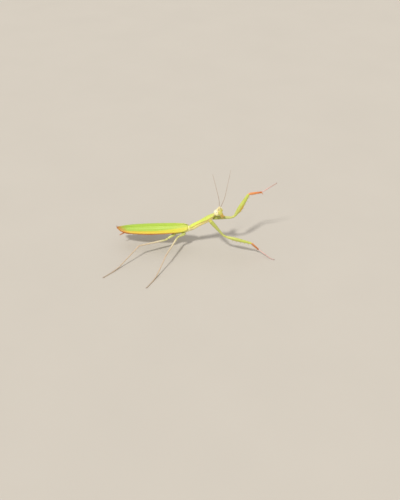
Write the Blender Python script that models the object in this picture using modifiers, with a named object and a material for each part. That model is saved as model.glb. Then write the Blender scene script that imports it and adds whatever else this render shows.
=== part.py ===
"""Praying mantis, life size: it stands on five feet and reaches out with its left foreleg.

Sizes are in millimetres and turned into metres as each mesh is made. +X is towards the head,
-Y is the animal's right side, +Z is up, and the floor is at Z = 0.
"""
import math

import bmesh
import bpy
from mathutils import Matrix, Vector

NAME = "praying_mantis"
MM = 0.001
GAP = 0.14            # clearance between neighbouring solids
LIMB_SIDES = 8
BODY_SIDES = 12

# The trunk and the pronotum meet at the waist; each is aimed by azimuth and elevation.
WAIST = Vector((-0.3, 6.78, 14.0))
TRUNK_AIM = (-5.5, 5.5)
PRONOTUM_AIM = (-10.0, 36.5)
HEAD_AIM = (-32.0, -38.0)     # from the crown to the mouth
HEAD_REACH = 19.3             # waist to the middle of the head, along the pronotum
HEAD_RISE = 0.6

PRONOTUM_LENGTH = 16.4
THORAX_LENGTH = 11.0
ABDOMEN_LENGTH = 24.6
ABDOMEN_SEGMENTS = 8
TEGMEN_LENGTH = 40.0
WING_BASE = 0.9               # from the waist back to where the tegmina start
WING_THICKNESS = 0.5
WING_LAYER = 0.6              # depth of one wing layer, with the clearance under it

FORE_LENGTHS = (10.7, 2.1, 14.0, 7.2, 9.2)      # coxa, trochanter, femur, tibia, tarsus
MID_LENGTHS = (4.7, 14.6, 12.4, 9.4)            # coxa with trochanter, femur, tibia, tarsus
HIND_LENGTHS = (6.3, 15.3, 15.8, 10.4)
ANTENNA_LENGTH = 22.0
ANTENNA_AIMS = {"left": (52.0, 72.0), "right": (150.0, 74.0)}      # azimuth and elevation of the tips
CERCUS_LENGTH = 3.8

# Joints that carry the legs: along the pronotum for the forelegs, along the trunk for the others.
FORE_JOINT = (12.9, 1.5, -1.45)
HIP_OUT = 1.35
HIP_DROP = -3.3

# How each leg is set, by azimuth and elevation: coxa, trochanter, femur, tibia and tarsus. Only the
# right foreleg stands on the floor.
FORE_STANCES = {
    "left": ((-5, 3), (9, 25), (26, 55), (14, 1), (-4, 38)),
    "right": ((-14, -49), (-14, -28), (-12, -9), (24, -50), (-28, 0)),
}
# Pair, side, hip's place along the trunk, lengths, then coxa, femur and the azimuths of tibia and tarsus.
WALKING_STANCES = (
    ("mid", "right", -3.1, MID_LENGTHS, ((214, -8), (247, -8), 242, 241)),
    ("mid", "left", -3.1, MID_LENGTHS, ((150, -19), (158, -6), 122, 168)),
    ("hind", "right", -8.4, HIND_LENGTHS, ((203, -24), (206, 4), 221, 226)),
    ("hind", "left", -8.4, HIND_LENGTHS, ((156, -22), (178, 4), 108, 166)),
)
SIDES = {"left": 1, "right": -1}

ANKLE_HEIGHT = 0.85           # end of a tibia that stands on the floor
FOOT_HALF = 0.36              # half width of a tarsus
FOOT_AXIS = 0.20              # height of its middle, so that its sole is cut flat

GREEN = (0.36, 0.62, 0.08)
LEAF = (0.42, 0.66, 0.10)
YELLOW = (0.78, 0.72, 0.10)
CREAM = (0.78, 0.74, 0.52)
ORANGE = (0.80, 0.33, 0.10)
TAN = (0.66, 0.52, 0.42)
BROWN = (0.36, 0.16, 0.09)
EYE = (0.90, 0.82, 0.56)


# ---------------------------------------------------------------- helpers

def heading(azimuth, elevation):
    """Unit vector at an azimuth from +X and an elevation above the floor, in degrees."""
    turn, lift = math.radians(azimuth), math.radians(elevation)
    return Vector((math.cos(lift) * math.cos(turn), math.cos(lift) * math.sin(turn), math.sin(lift)))


def aim(origin, azimuth, elevation):
    """Frame at origin: X along the heading, Y to the left, Z dorsal."""
    turn = Matrix.Rotation(math.radians(azimuth), 4, "Z")
    lift = Matrix.Rotation(math.radians(-elevation), 4, "Y")
    return Matrix.Translation(origin) @ turn @ lift


def frame_on(origin, forward, side):
    """Frame at origin whose X is forward and whose Y is as near to side as it can be."""
    dorsal = forward.cross(side).normalized()
    left = dorsal.cross(forward)
    axes = Matrix((forward, left, dorsal)).transposed().to_4x4()
    return Matrix.Translation(origin) @ axes


def smooth_value(table, x):
    """Value at x of the smooth curve through a table of (x, value) pairs."""
    last = len(table) - 1
    index = 0
    while index < last - 1 and x > table[index + 1][0]:
        index += 1
    (x0, y0), (x1, y1) = table[index], table[index + 1]
    before, after = table[max(index - 1, 0)], table[min(index + 2, last)]
    span = x1 - x0
    slope0 = (y1 - before[1]) / (x1 - before[0]) * span
    slope1 = (after[1] - y0) / (after[0] - x0) * span
    s = min(max((x - x0) / span, 0.0), 1.0)
    return ((2 * s ** 3 - 3 * s ** 2 + 1) * y0 + (s ** 3 - 2 * s ** 2 + s) * slope0
            + (3 * s ** 2 - 2 * s ** 3) * y1 + (s ** 3 - s ** 2) * slope1)


def principled(name, colour, roughness):
    """A plain material of one colour."""
    material = bpy.data.materials.get(name)
    if material is None:
        material = bpy.data.materials.new(name)
        material.use_nodes = True
        shader = material.node_tree.nodes["Principled BSDF"]
        shader.inputs["Base Color"].default_value = (*colour, 1.0)
        shader.inputs["Roughness"].default_value = roughness
        shader.inputs["Metallic"].default_value = 0.0
    return material


def add_object(name, data, place, colour, roughness=0.45, collection=None):
    """Put a mesh or curve in the scene at a frame given in millimetres."""
    item = bpy.data.objects.new(name, data)
    location, rotation, _ = place.decompose()
    item.location = location * MM
    item.rotation_euler = rotation.to_euler()
    data.materials.append(principled(f"{name}_colour", colour, roughness))
    (collection or MODEL).objects.link(item)
    return item


def mesh_from(bm, name):
    """Turn a bmesh in millimetres into a mesh in metres with outward faces."""
    bmesh.ops.recalc_face_normals(bm, faces=bm.faces)
    bmesh.ops.scale(bm, vec=(MM, MM, MM), verts=bm.verts)
    mesh = bpy.data.meshes.new(name)
    bm.to_mesh(mesh)
    bm.free()
    mesh.shade_smooth()
    mesh.set_sharp_from_angle(angle=math.radians(50))
    return mesh


def section_ring(bm, station, sides, capped):
    """One ring of a loft: its middle at (x, z), with half width, rise above and sag below."""
    x, z, half_width, rise, sag = station
    turn = Matrix.Rotation(math.pi / sides, 4, "Z")
    verts = bmesh.ops.create_circle(bm, segments=sides, radius=1.0, matrix=turn, cap_ends=capped)["verts"]
    for vert in verts:
        across, up = vert.co.x, vert.co.y
        vert.co = Vector((x, across * half_width, z + up * (rise if up > 0 else sag)))
    return list({edge for vert in verts for edge in vert.link_edges})


def loft_mesh(name, stations, sides=LIMB_SIDES, floor=None):
    """Closed solid through stations of (x, z, half width, rise, sag), in millimetres."""
    bm = bmesh.new()
    last = len(stations) - 1
    rings = [section_ring(bm, station, sides, index in (0, last)) for index, station in enumerate(stations)]
    for ring, following in zip(rings, rings[1:]):
        bmesh.ops.bridge_loops(bm, edges=ring + following)
    if floor is not None:
        for vert in bm.verts:
            vert.co.z = max(vert.co.z, floor)
    return mesh_from(bm, name)


def rounded_limb(start, end, profile):
    """Stations of a limb from start to end, both ends rounded.

    The profile lists (share of the length, half width, rise, sag).
    """
    def cap(x, inward, half_width, rise, sag):
        radius = max(half_width, rise, sag)
        return [(x + inward * radius * (1 - math.cos(math.radians(angle))), 0.0,
                 *(size * math.sin(math.radians(angle)) for size in (half_width, rise, sag)))
                for angle in (38, 66)]

    length = end - start
    body = [(start + share * length, 0.0, *sizes) for share, *sizes in profile]
    first = max(profile[0][1:])
    final = max(profile[-1][1:])
    body[0] = (start + first, *body[0][1:])
    body[-1] = (end - final, *body[-1][1:])
    return cap(start, 1, *profile[0][1:]) + body + cap(end, -1, *profile[-1][1:])[::-1]


def joint_trim(forward, following, radius):
    """How far two rounded limb ends stand back from the joint where they meet."""
    bend = forward.angle(following)
    return (radius + GAP / 2) / math.cos(bend / 2) - radius


def tube(name, points, radii, place, colour, sides_level=1):
    """Round feeler or palp: a smooth curve through points, with filled ends."""
    curve = bpy.data.curves.new(name, "CURVE")
    curve.dimensions = "3D"
    curve.bevel_depth = MM
    curve.bevel_resolution = sides_level
    curve.use_fill_caps = True
    spline = curve.splines.new("POLY")
    spline.points.add(len(points) - 1)
    for point, (co, radius) in zip(spline.points, zip(points, radii)):
        point.co = (*(Vector(co) * MM), 1.0)
        point.radius = radius
    return add_object(name, curve, place, colour)


def combine(item, guide, operation):
    """Join a guide object to an item, or cut it away, by a Boolean."""
    guide.hide_render = True
    guide.display_type = "WIRE"
    step = item.modifiers.new(guide.name, "BOOLEAN")
    step.operation = operation
    step.object = guide


# ---------------------------------------------------------------- trunk

# Folded wings, by share of the tegmen's length: half width, height of the ridge over the
# trunk's axis, and how far the outer edge hangs below that axis.
WING_HALF_WIDTH = ((0.0, 1.8), (0.03, 2.35), (0.08, 2.95), (0.16, 3.5), (0.32, 3.85), (0.6, 3.85),
                   (0.8, 3.3), (0.93, 2.2), (1.0, 0.9))
WING_RIDGE = ((0.0, 1.55), (0.06, 2.15), (0.3, 2.45), (0.6, 2.4), (0.8, 2.05), (0.93, 1.5), (1.0, 1.0))
WING_EDGE_DROP = ((0.0, 0.1), (0.06, 1.0), (0.3, 1.7), (0.6, 1.65), (0.85, 1.0), (1.0, 0.1))
ROOF_POWER = 2.4              # how flat the ridge is and how steep the sides

# How far a wing reaches past the middle line, in half widths.
TEGMEN_OVERLAP = ((0.0, -0.55), (0.08, 0.0), (0.2, 0.26), (1.0, 0.26))
HINDWING_OVERLAP = ((0.0, -0.04), (1.0, -0.04))


def roof_point(across, share, layer):
    """Point of the folded wings in the trunk's frame, a layer's depth under their outside."""
    half = smooth_value(WING_HALF_WIDTH, share)
    ridge = smooth_value(WING_RIDGE, share)
    fall = ridge + smooth_value(WING_EDGE_DROP, share)
    out = abs(across) / half
    normal = Vector((0.0, math.copysign(fall * ROOF_POWER / half * out ** (ROOF_POWER - 1), across), 1.0))
    outside = Vector((-WING_BASE - share * TEGMEN_LENGTH, across, ridge - fall * out ** ROOF_POWER))
    return outside - normal.normalized() * layer


def wing(name, side, shares, layers, overlap, reach, colour):
    """Folded wing: a sheet bent over the roof, from near the middle line out to its reach.

    The shares are those of the tegmen's length where the sheet starts and ends, and the layers
    are its depth under the outside along its inner and its outer edge.
    """
    rows, columns = 13, 6
    bm = bmesh.new()
    bmesh.ops.create_grid(bm, x_segments=rows, y_segments=columns, size=0.5)
    for vert in bm.verts:
        share = shares[0] + (shares[1] - shares[0]) * (vert.co.x + 0.5)
        half = smooth_value(WING_HALF_WIDTH, share)
        inner = -smooth_value(overlap, share)
        out = inner + (reach - inner) * (vert.co.y + 0.5)
        rise = min(max((out - 0.4) / (reach - 0.4), 0.0), 1.0)
        layer = layers[0] + (layers[1] - layers[0]) * rise
        vert.co = roof_point(side * half * out, share, layer)
    if side < 0:
        bmesh.ops.reverse_faces(bm, faces=bm.faces)
    bmesh.ops.reverse_faces(bm, faces=bm.faces)
    bmesh.ops.scale(bm, vec=(MM, MM, MM), verts=bm.verts)
    mesh = bpy.data.meshes.new(name)
    bm.to_mesh(mesh)
    bm.free()
    mesh.shade_smooth()
    item = add_object(name, mesh, TRUNK, colour, 0.35)
    shell = item.modifiers.new("thickness", "SOLIDIFY")
    shell.thickness = WING_THICKNESS * MM
    shell.offset = -1.0
    return item


def make_wings():
    """Two tegmina, the left over the right, and a hind wing under each."""
    wing("tegmen_left", 1, (0.0, 1.0), (0.0, 0.0), TEGMEN_OVERLAP, 1.0, GREEN)
    wing("tegmen_right", -1, (0.0, 0.99), (WING_LAYER, 0.0), TEGMEN_OVERLAP, 1.0, GREEN)
    for label, side in SIDES.items():
        wing(f"hindwing_{label}", side, (0.15, 0.88), (2 * WING_LAYER, 2 * WING_LAYER), HINDWING_OVERLAP,
             0.7, CREAM)


BODY_TOP = -0.15              # top of thorax and abdomen, under the wings


def trunk_station(x, half_width, height, top=BODY_TOP):
    """Station of thorax or abdomen whose top lies at a height over the trunk's axis."""
    return (x, top - 0.45 * height, half_width, 0.45 * height, 0.55 * height)


def make_thorax():
    """Middle and hind thorax, which bear the wings and the walking legs."""
    half = THORAX_LENGTH / 2
    middle = [trunk_station(-0.3, 0.95, 2.5, 0.55), trunk_station(-0.9, 1.25, 3.1, 0.6),
              trunk_station(-2.0, 1.5, 3.5, 0.4), trunk_station(-3.6, 1.75, 3.75, 0.15),
              trunk_station(-half + GAP / 2, 1.85, 3.7, 0.1)]
    hind = [trunk_station(-half - GAP / 2, 1.95, 3.8), trunk_station(-7.6, 2.1, 3.95),
            trunk_station(-9.8, 2.05, 3.8), trunk_station(-THORAX_LENGTH + GAP / 2, 1.8, 3.4)]
    add_object("mesothorax", loft_mesh("mesothorax", middle, BODY_SIDES), TRUNK, LEAF)
    add_object("metathorax", loft_mesh("metathorax", hind, BODY_SIDES), TRUNK, LEAF)


ABDOMEN_HALF_WIDTH = ((0.0, 1.8), (0.2, 2.2), (0.5, 2.45), (0.75, 2.2), (0.9, 1.65), (1.0, 1.15))
ABDOMEN_HEIGHT = ((0.0, 3.3), (0.3, 3.6), (0.6, 3.5), (0.85, 2.7), (1.0, 1.9))
ABDOMEN_TOP = ((0.0, -0.2), (0.6, -0.25), (0.85, -0.7), (1.0, -1.35))


def abdomen_station(share, swell=1.0):
    """Station of the abdomen at a share of its length."""
    x = -THORAX_LENGTH - share * ABDOMEN_LENGTH
    height = smooth_value(ABDOMEN_HEIGHT, share) * swell
    half_width = smooth_value(ABDOMEN_HALF_WIDTH, share) * swell
    return trunk_station(x, half_width, height, smooth_value(ABDOMEN_TOP, share))


def make_abdomen():
    """Eight rings that taper to the tail, the plate under it and two cerci."""
    step = 1.0 / ABDOMEN_SEGMENTS
    inset = GAP / 2 / ABDOMEN_LENGTH
    for index in range(ABDOMEN_SEGMENTS):
        front, back = index * step + inset, (index + 1) * step - inset
        shares = [(front, 0.93), (front + 0.3 * step, 0.99), (back - 0.2 * step, 1.0), (back, 0.95)]
        stations = [abdomen_station(share, swell) for share, swell in shares]
        name = f"abdomen_{index + 1}"
        add_object(name, loft_mesh(name, stations, BODY_SIDES), TRUNK, LEAF)
    tail_x = -THORAX_LENGTH - ABDOMEN_LENGTH
    plate = [(tail_x - GAP, -2.35, 0.85, 0.3, 0.5), (tail_x - 1.2, -2.45, 0.7, 0.3, 0.45),
             (tail_x - 2.2, -2.5, 0.35, 0.25, 0.3)]
    add_object("subgenital_plate", loft_mesh("subgenital_plate", plate), TRUNK, ORANGE)
    for label, side in SIDES.items():
        points = [(tail_x - GAP - share * CERCUS_LENGTH, side * (0.95 + 1.1 * share),
                   -1.55 - 1.3 * share ** 1.4) for share in (0.0, 0.25, 0.5, 0.75, 1.0)]
        tube(f"cercus_{label}", points, (0.36, 0.38, 0.34, 0.3, 0.26), TRUNK, ORANGE)


PRONOTUM_HALF_WIDTH = ((0.0, 1.2), (0.09, 1.5), (0.28, 1.3), (0.45, 1.4), (0.6, 1.8), (0.7, 2.15),
                       (0.82, 1.95), (0.94, 1.6), (1.0, 1.1))
PRONOTUM_RISE = ((0.0, 0.75), (0.1, 1.0), (0.4, 0.85), (0.7, 0.95), (0.9, 0.8), (1.0, 0.5))


def make_pronotum():
    """The long shield behind the head, the plate under it and the soft neck."""
    stations = []
    for share in (0.0, 0.04, 0.1, 0.2, 0.32, 0.45, 0.56, 0.64, 0.7, 0.76, 0.84, 0.92, 0.97, 1.0):
        x = GAP + share * (PRONOTUM_LENGTH - GAP)
        half_width = smooth_value(PRONOTUM_HALF_WIDTH, share)
        stations.append((x, 0.0, half_width, smooth_value(PRONOTUM_RISE, share), 0.38))
    add_object("pronotum", loft_mesh("pronotum", stations, BODY_SIDES), SHIELD, LEAF)
    plate = [(0.75, -0.95, 0.7, 0.35, 0.95), (1.8, -0.98, 1.05, 0.45, 1.2), (5.0, -0.98, 1.0, 0.45, 1.1),
             (8.5, -0.98, 1.1, 0.45, 1.25), (11.0, -0.98, 1.05, 0.45, 1.45), (12.8, -0.98, 0.8, 0.42, 1.15),
             (14.1, -0.9, 0.45, 0.3, 0.5)]
    add_object("prosternum", loft_mesh("prosternum", plate), SHIELD, CREAM)


def make_neck():
    """Soft tube from under the front of the pronotum to the back of the head."""
    start = SHIELD @ Vector((PRONOTUM_LENGTH + GAP, 0.0, 0.1))
    end = HEAD @ Vector((-0.1, 0.0, -1.1 - GAP))
    forward = (end - start).normalized()
    place = frame_on(start, forward, SHIELD.to_3x3() @ Vector((0, 1, 0)))
    length = (end - start).length
    stations = [(0.0, 0.0, 0.3, 0.25, 0.25), (0.25 * length, 0.0, 0.6, 0.45, 0.45),
                (0.75 * length, 0.0, 0.7, 0.55, 0.55), (length, 0.0, 0.4, 0.35, 0.35)]
    add_object("neck", loft_mesh("neck", stations), place, CREAM)


# ---------------------------------------------------------------- head

EYE_CENTRE = Vector((0.05, 2.12, 0.1))
EYE_RADII = Vector((1.62, 0.98, 1.22))
EYE_TAPER = 0.22              # how much narrower the eye is at its lower end
EYE_TURN = 14.0               # degrees that the lower ends of the eyes lean in


def eye_mesh(name, margin=0.0):
    """Compound eye: an upright ellipsoid, wider at the top."""
    bm = bmesh.new()
    bmesh.ops.create_uvsphere(bm, u_segments=14, v_segments=9, radius=1.0)
    for vert in bm.verts:
        co = vert.co
        taper = 1.0 - EYE_TAPER * co.x
        vert.co = Vector((co.x * (EYE_RADII.x + margin), co.y * (EYE_RADII.y * taper + margin),
                          co.z * (EYE_RADII.z * taper + margin)))
    return mesh_from(bm, name)


def make_head():
    """Three-cornered head: eyes at the upper corners, mouthparts at the lower one."""
    stations = [(-1.45, -0.25, 0.9, 0.2, 0.25), (-1.3, -0.2, 1.5, 0.45, 0.5), (-0.9, -0.1, 2.1, 0.8, 0.85),
                (-0.2, 0.0, 2.35, 1.05, 1.1), (0.7, 0.05, 2.15, 1.15, 1.1), (1.6, 0.1, 1.6, 1.1, 0.95),
                (2.4, 0.15, 1.15, 0.9, 0.75), (2.95, 0.2, 0.9, 0.7, 0.5)]
    head = add_object("head", loft_mesh("head", stations, 16), HEAD, LEAF)
    for label, side in SIDES.items():
        centre = Vector((EYE_CENTRE.x, side * EYE_CENTRE.y, EYE_CENTRE.z))
        lean = Matrix.Rotation(math.radians(side * EYE_TURN), 4, "Z")
        place = HEAD @ Matrix.Translation(centre) @ lean
        add_object(f"eye_{label}", eye_mesh(f"eye_{label}"), place, EYE, 0.15)
        socket = add_object(f"socket_{label}", eye_mesh(f"socket_{label}", GAP), place, EYE, 0.5, GUIDES)
        combine(head, socket, "DIFFERENCE")
    labrum = [(2.95 + GAP, 0.55, 0.6, 0.3, 0.2), (3.6, 0.5, 0.62, 0.3, 0.2), (4.1, 0.35, 0.35, 0.25, 0.18)]
    add_object("labrum", loft_mesh("labrum", labrum), HEAD, YELLOW)
    jaws = [(2.95 + GAP, -0.15, 0.6, 0.3, 0.4), (3.5, -0.15, 0.6, 0.28, 0.45), (4.0, -0.2, 0.4, 0.22, 0.3)]
    add_object("mandibles", loft_mesh("mandibles", jaws), HEAD, ORANGE)
    for label, side in SIDES.items():
        palp = [(2.95 + GAP, side * 0.95, -0.1), (3.6, side * 1.1, -0.1), (4.2, side * 1.1, 0.05),
                (4.7, side * 0.85, 0.3)]
        tube(f"palp_{label}", palp, (0.26, 0.28, 0.27, 0.25), HEAD, YELLOW)


def make_antennae():
    """Two feelers that rise from between the eyes and part in a V."""
    for label, aim_at in ANTENNA_AIMS.items():
        side = SIDES[label]
        base = HEAD @ Vector((-0.35, side * 0.6, 1.22))
        outward = (HEAD.to_3x3() @ Vector((-0.25, side * 0.25, 1.0))).normalized()
        tip_way = heading(*aim_at)
        steps = 12
        points = [base]
        for step in range(steps):
            share = min(1.0, (step + 0.5) / (steps * 0.45))
            way = outward.lerp(tip_way, share).normalized()
            points.append(points[-1] + way * ANTENNA_LENGTH / steps)
        tube(f"antenna_{label}", points, [0.3 - 0.04 * step / steps for step in range(steps + 1)],
             Matrix.Identity(4), BROWN)


# ---------------------------------------------------------------- legs

def drop_angle(height, length, goal):
    """Elevation that takes a limb from one height down to another."""
    return math.degrees(math.asin((goal - height) / length))


SPINE_ROOT = 0.5              # how deep a spine's root is sunk into its limb


def spine_row(bm, count, x_range, across, depth, length, lean):
    """Cones in a row along X that point down and forward."""
    start, end = x_range
    for index in range(count):
        share = index / max(count - 1, 1)
        tall = length * (1.0 if index % 2 == 0 else 0.7)
        cone = bmesh.ops.create_cone(bm, cap_ends=True, segments=5, radius1=0.2, radius2=0.04,
                                     depth=tall + SPINE_ROOT)
        way = Vector((lean, 0.35 * across, -1.0)).normalized()
        root = Vector((start + share * (end - start), across, -depth(share)))
        turn = way.to_track_quat("Z", "Y").to_matrix().to_4x4()
        shift = Matrix.Translation(root + way * (tall - SPINE_ROOT) / 2)
        bmesh.ops.transform(bm, matrix=shift @ turn, verts=cone["verts"])


def add_limb(name, place, length, profile, trims, colour):
    """One rounded leg segment, set back from its joints by the trims."""
    stations = rounded_limb(trims[0], length - trims[1], profile)
    return add_object(name, loft_mesh(name, stations), place, colour)


def seat_coxa(name, place, length, profile, hosts):
    """Cut the coxa's seat, a clearance wider than the coxa, from the solids that carry it."""
    wider = [(share, *(size + GAP for size in sizes)) for share, *sizes in profile]
    mesh = loft_mesh(name, rounded_limb(-GAP / 2, length, wider))
    seat = add_object(name, mesh, place, LEAF, 0.5, GUIDES)
    for host in hosts:
        combine(bpy.data.objects[host], seat, "DIFFERENCE")


TARSUS_JOINTS = (0.0, 0.44, 0.62, 0.76, 0.87, 1.0)


def tarsus_stations(length, trim, ankle=0.0, axis=0.0, landing=0.42):
    """Five knuckled segments, which come down from the ankle to the axis height at the landing."""
    stations = []
    start, end = trim, length
    for front, back in zip(TARSUS_JOINTS, TARSUS_JOINTS[1:]):
        for share, swell in ((front + 0.03, 0.8), (back - 0.03, 1.0)):
            x = start + share * (end - start)
            fall = max(0.0, 1.0 - share / landing)
            half = FOOT_HALF * swell * (1.0 - 0.15 * share)
            stations.append((x, axis + (ankle - axis) * fall, half, half, half))
    tip = stations[-1]
    stations.append((end, tip[1], 0.16, 0.16, 0.16))
    first = stations[0]
    stations.insert(0, (start, first[1], 0.2, 0.2, 0.2))
    return stations


FORE_PROFILES = {
    "coxa": ((0.0, 0.8, 0.85, 0.85), (0.12, 1.0, 1.1, 1.1), (0.45, 0.85, 1.0, 1.0),
             (0.85, 0.6, 0.7, 0.7), (1.0, 0.55, 0.6, 0.6)),
    "trochanter": ((0.0, 0.55, 0.58, 0.58), (0.5, 0.6, 0.66, 0.66), (1.0, 0.52, 0.58, 0.58)),
    "femur": ((0.0, 0.55, 0.6, 0.6), (0.14, 0.7, 0.8, 1.05), (0.36, 0.87, 1.15, 1.6),
              (0.6, 0.8, 1.05, 1.3), (0.85, 0.64, 0.86, 0.88), (1.0, 0.54, 0.68, 0.66)),
    "tibia": ((0.0, 0.42, 0.5, 0.5), (0.18, 0.52, 0.66, 0.7), (0.6, 0.45, 0.55, 0.6),
              (1.0, 0.32, 0.38, 0.38)),
}


def make_foreleg(label, ways, lands):
    """Grasping leg: coxa, trochanter, spined femur, hooked tibia and tarsus."""
    coxa, trochanter, femur, tibia, tarsus = FORE_LENGTHS
    lengths = dict(coxa=coxa, trochanter=trochanter, femur=femur, tibia=tibia)
    forward, out, up = FORE_JOINT
    joint = SHIELD @ Vector((forward, SIDES[label] * out, up))
    headings = [heading(*way) for way in ways]
    hinge = headings[2].cross(headings[3]).normalized()
    radii = [FORE_PROFILES[part][-1][2] for part in ("coxa", "trochanter", "femur", "tibia")]
    trims = [GAP / 2] + [joint_trim(*pair) for pair in zip(headings, headings[1:], radii)]
    colours = (LEAF, LEAF, LEAF, ORANGE)
    limbs = {}
    for index, part in enumerate(("coxa", "trochanter", "femur", "tibia")):
        place = frame_on(joint, headings[index], hinge)
        limbs[part] = add_limb(f"fore_{part}_{label}", place, lengths[part], FORE_PROFILES[part],
                               (trims[index], trims[index + 1]), colours[index])
        if part == "coxa":
            seat_coxa(f"fore_seat_{label}", place, coxa, FORE_PROFILES[part], ("pronotum", "prosternum"))
        joint = joint + headings[index] * lengths[part]

    bm = bmesh.new()
    for across, count in ((0.42, 8), (-0.42, 5)):
        spine_row(bm, count, (3.0, femur - 1.4), across, lambda share: 1.25 - 0.65 * share, 1.15, 0.45)
    spines = add_object(f"femur_spines_{label}", mesh_from(bm, f"femur_spines_{label}"),
                        frame_on(Vector(), headings[2], hinge), YELLOW, 0.4, GUIDES)
    spines.location = limbs["femur"].location
    combine(limbs["femur"], spines, "UNION")

    bm = bmesh.new()
    for across in (0.28, -0.28):
        spine_row(bm, 6, (1.5, tibia - 1.3), across, lambda share: 0.45 - 0.2 * share, 0.8, 0.9)
    hook = bmesh.ops.create_cone(bm, cap_ends=True, segments=6, radius1=0.34, radius2=0.05, depth=2.4)
    way = Vector((0.62, 0.0, -0.78)).to_track_quat("Z", "Y").to_matrix().to_4x4()
    bmesh.ops.transform(bm, matrix=Matrix.Translation((tibia - 0.15, 0.0, -1.0)) @ way, verts=hook["verts"])
    claws = add_object(f"tibia_spines_{label}", mesh_from(bm, f"tibia_spines_{label}"),
                       frame_on(Vector(), headings[3], hinge), ORANGE, 0.4, GUIDES)
    claws.location = limbs["tibia"].location
    combine(limbs["tibia"], claws, "UNION")

    if lands:
        azimuth = ways[4][0]
        place = aim(Vector((joint.x, joint.y, 0.0)), azimuth, 0.0)
        stations = tarsus_stations(tarsus, trims[4], joint.z, FOOT_AXIS, landing=0.78)
        mesh = loft_mesh(f"fore_tarsus_{label}", stations, floor=0.0)
    else:
        place = aim(joint, *ways[4])
        mesh = loft_mesh(f"fore_tarsus_{label}", tarsus_stations(tarsus, trims[4]))
    add_object(f"fore_tarsus_{label}", mesh, place, TAN)


WALKING_PROFILES = {
    "coxa": ((0.0, 0.6, 0.6, 0.6), (0.2, 0.78, 0.76, 0.76), (0.6, 0.66, 0.64, 0.64), (1.0, 0.5, 0.5, 0.5)),
    "femur": ((0.0, 0.45, 0.45, 0.45), (0.15, 0.56, 0.58, 0.58), (0.6, 0.45, 0.45, 0.45),
              (0.93, 0.36, 0.36, 0.36), (1.0, 0.38, 0.4, 0.4)),
    "tibia": ((0.0, 0.34, 0.36, 0.36), (0.1, 0.36, 0.38, 0.38), (0.7, 0.3, 0.3, 0.3),
              (1.0, 0.32, 0.34, 0.34)),
}


def make_walking_leg(pair, label, attach, lengths, ways):
    """Slender leg: coxa with trochanter, femur, tibia, and a tarsus flat on the floor."""
    joint = TRUNK @ Vector((attach, SIDES[label] * HIP_OUT, HIP_DROP))
    coxa, femur, tibia, tarsus = lengths
    stance = list(ways[:2])
    knee_height = (joint + heading(*ways[0]) * coxa + heading(*ways[1]) * femur).z
    stance.append((ways[2], drop_angle(knee_height, tibia, ANKLE_HEIGHT)))
    stance.append((ways[3], 0.0))
    headings = [heading(*way) for way in stance]
    radii = [WALKING_PROFILES[part][-1][2] for part in ("coxa", "femur", "tibia")]
    trims = [GAP / 2] + [joint_trim(*bend) for bend in zip(headings, headings[1:], radii)]
    for index, part in enumerate(("coxa", "femur", "tibia")):
        place = aim(joint, *stance[index])
        add_limb(f"{pair}_{part}_{label}", place, lengths[index], WALKING_PROFILES[part],
                 (trims[index], trims[index + 1]), (LEAF, TAN, TAN)[index])
        if part == "coxa":
            hosts = ("mesothorax", "metathorax") if pair == "mid" else ("metathorax", "abdomen_1")
            seat_coxa(f"{pair}_seat_{label}", place, coxa, WALKING_PROFILES[part], hosts)
        joint = joint + headings[index] * lengths[index]
    place = aim(Vector((joint.x, joint.y, 0.0)), ways[3], 0.0)
    stations = tarsus_stations(tarsus, trims[3], joint.z, FOOT_AXIS)
    name = f"{pair}_tarsus_{label}"
    add_object(name, loft_mesh(name, stations, floor=0.0), place, TAN)


def make_legs():
    """The raised left foreleg, the planted right one and the four walking legs."""
    for label, ways in FORE_STANCES.items():
        make_foreleg(label, ways, lands=label == "right")
    for stance in WALKING_STANCES:
        make_walking_leg(*stance)


# ---------------------------------------------------------------- the whole animal

for old in list(bpy.data.objects):
    bpy.data.objects.remove(old)
MODEL = bpy.data.collections.new(NAME)
GUIDES = bpy.data.collections.new("guides")
bpy.context.scene.collection.children.link(MODEL)
bpy.context.scene.collection.children.link(GUIDES)
TRUNK = aim(WAIST, *TRUNK_AIM)
SHIELD = aim(WAIST, *PRONOTUM_AIM)
HEAD = aim(SHIELD @ Vector((HEAD_REACH, 0.0, HEAD_RISE)), *HEAD_AIM)
make_wings()
make_thorax()
make_abdomen()
make_pronotum()
make_neck()
make_head()
make_antennae()
make_legs()
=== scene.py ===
"""Praying mantis, life size, reaching out with its left foreleg: the looks of the model.

Lengths in the tables are millimetres in the animal's own frames, and become metres when a mesh is
made. +X is towards the head, -Y is the animal's right side, and the floor is at Z = 0.
"""

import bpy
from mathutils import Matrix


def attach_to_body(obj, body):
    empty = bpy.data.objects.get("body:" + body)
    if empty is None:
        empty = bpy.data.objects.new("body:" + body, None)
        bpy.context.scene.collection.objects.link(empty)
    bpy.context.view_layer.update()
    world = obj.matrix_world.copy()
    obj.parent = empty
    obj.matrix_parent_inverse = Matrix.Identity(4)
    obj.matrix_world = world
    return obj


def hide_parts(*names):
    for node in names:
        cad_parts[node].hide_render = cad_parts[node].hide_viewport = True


bl_info = {
    "name": "Praying Mantis",
    "version": (1, 0, 0),
    "blender": (4, 5, 0),
    "location": "3D View > Sidebar > Mantis",
    "description": "Dresses the solids of a life-size praying mantis with skin, wings, spines and bristles",
    "category": "Object",
}

import math

import bmesh
import bpy
from bpy.props import FloatProperty, FloatVectorProperty, IntProperty, PointerProperty
from mathutils import Matrix, Vector

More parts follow.
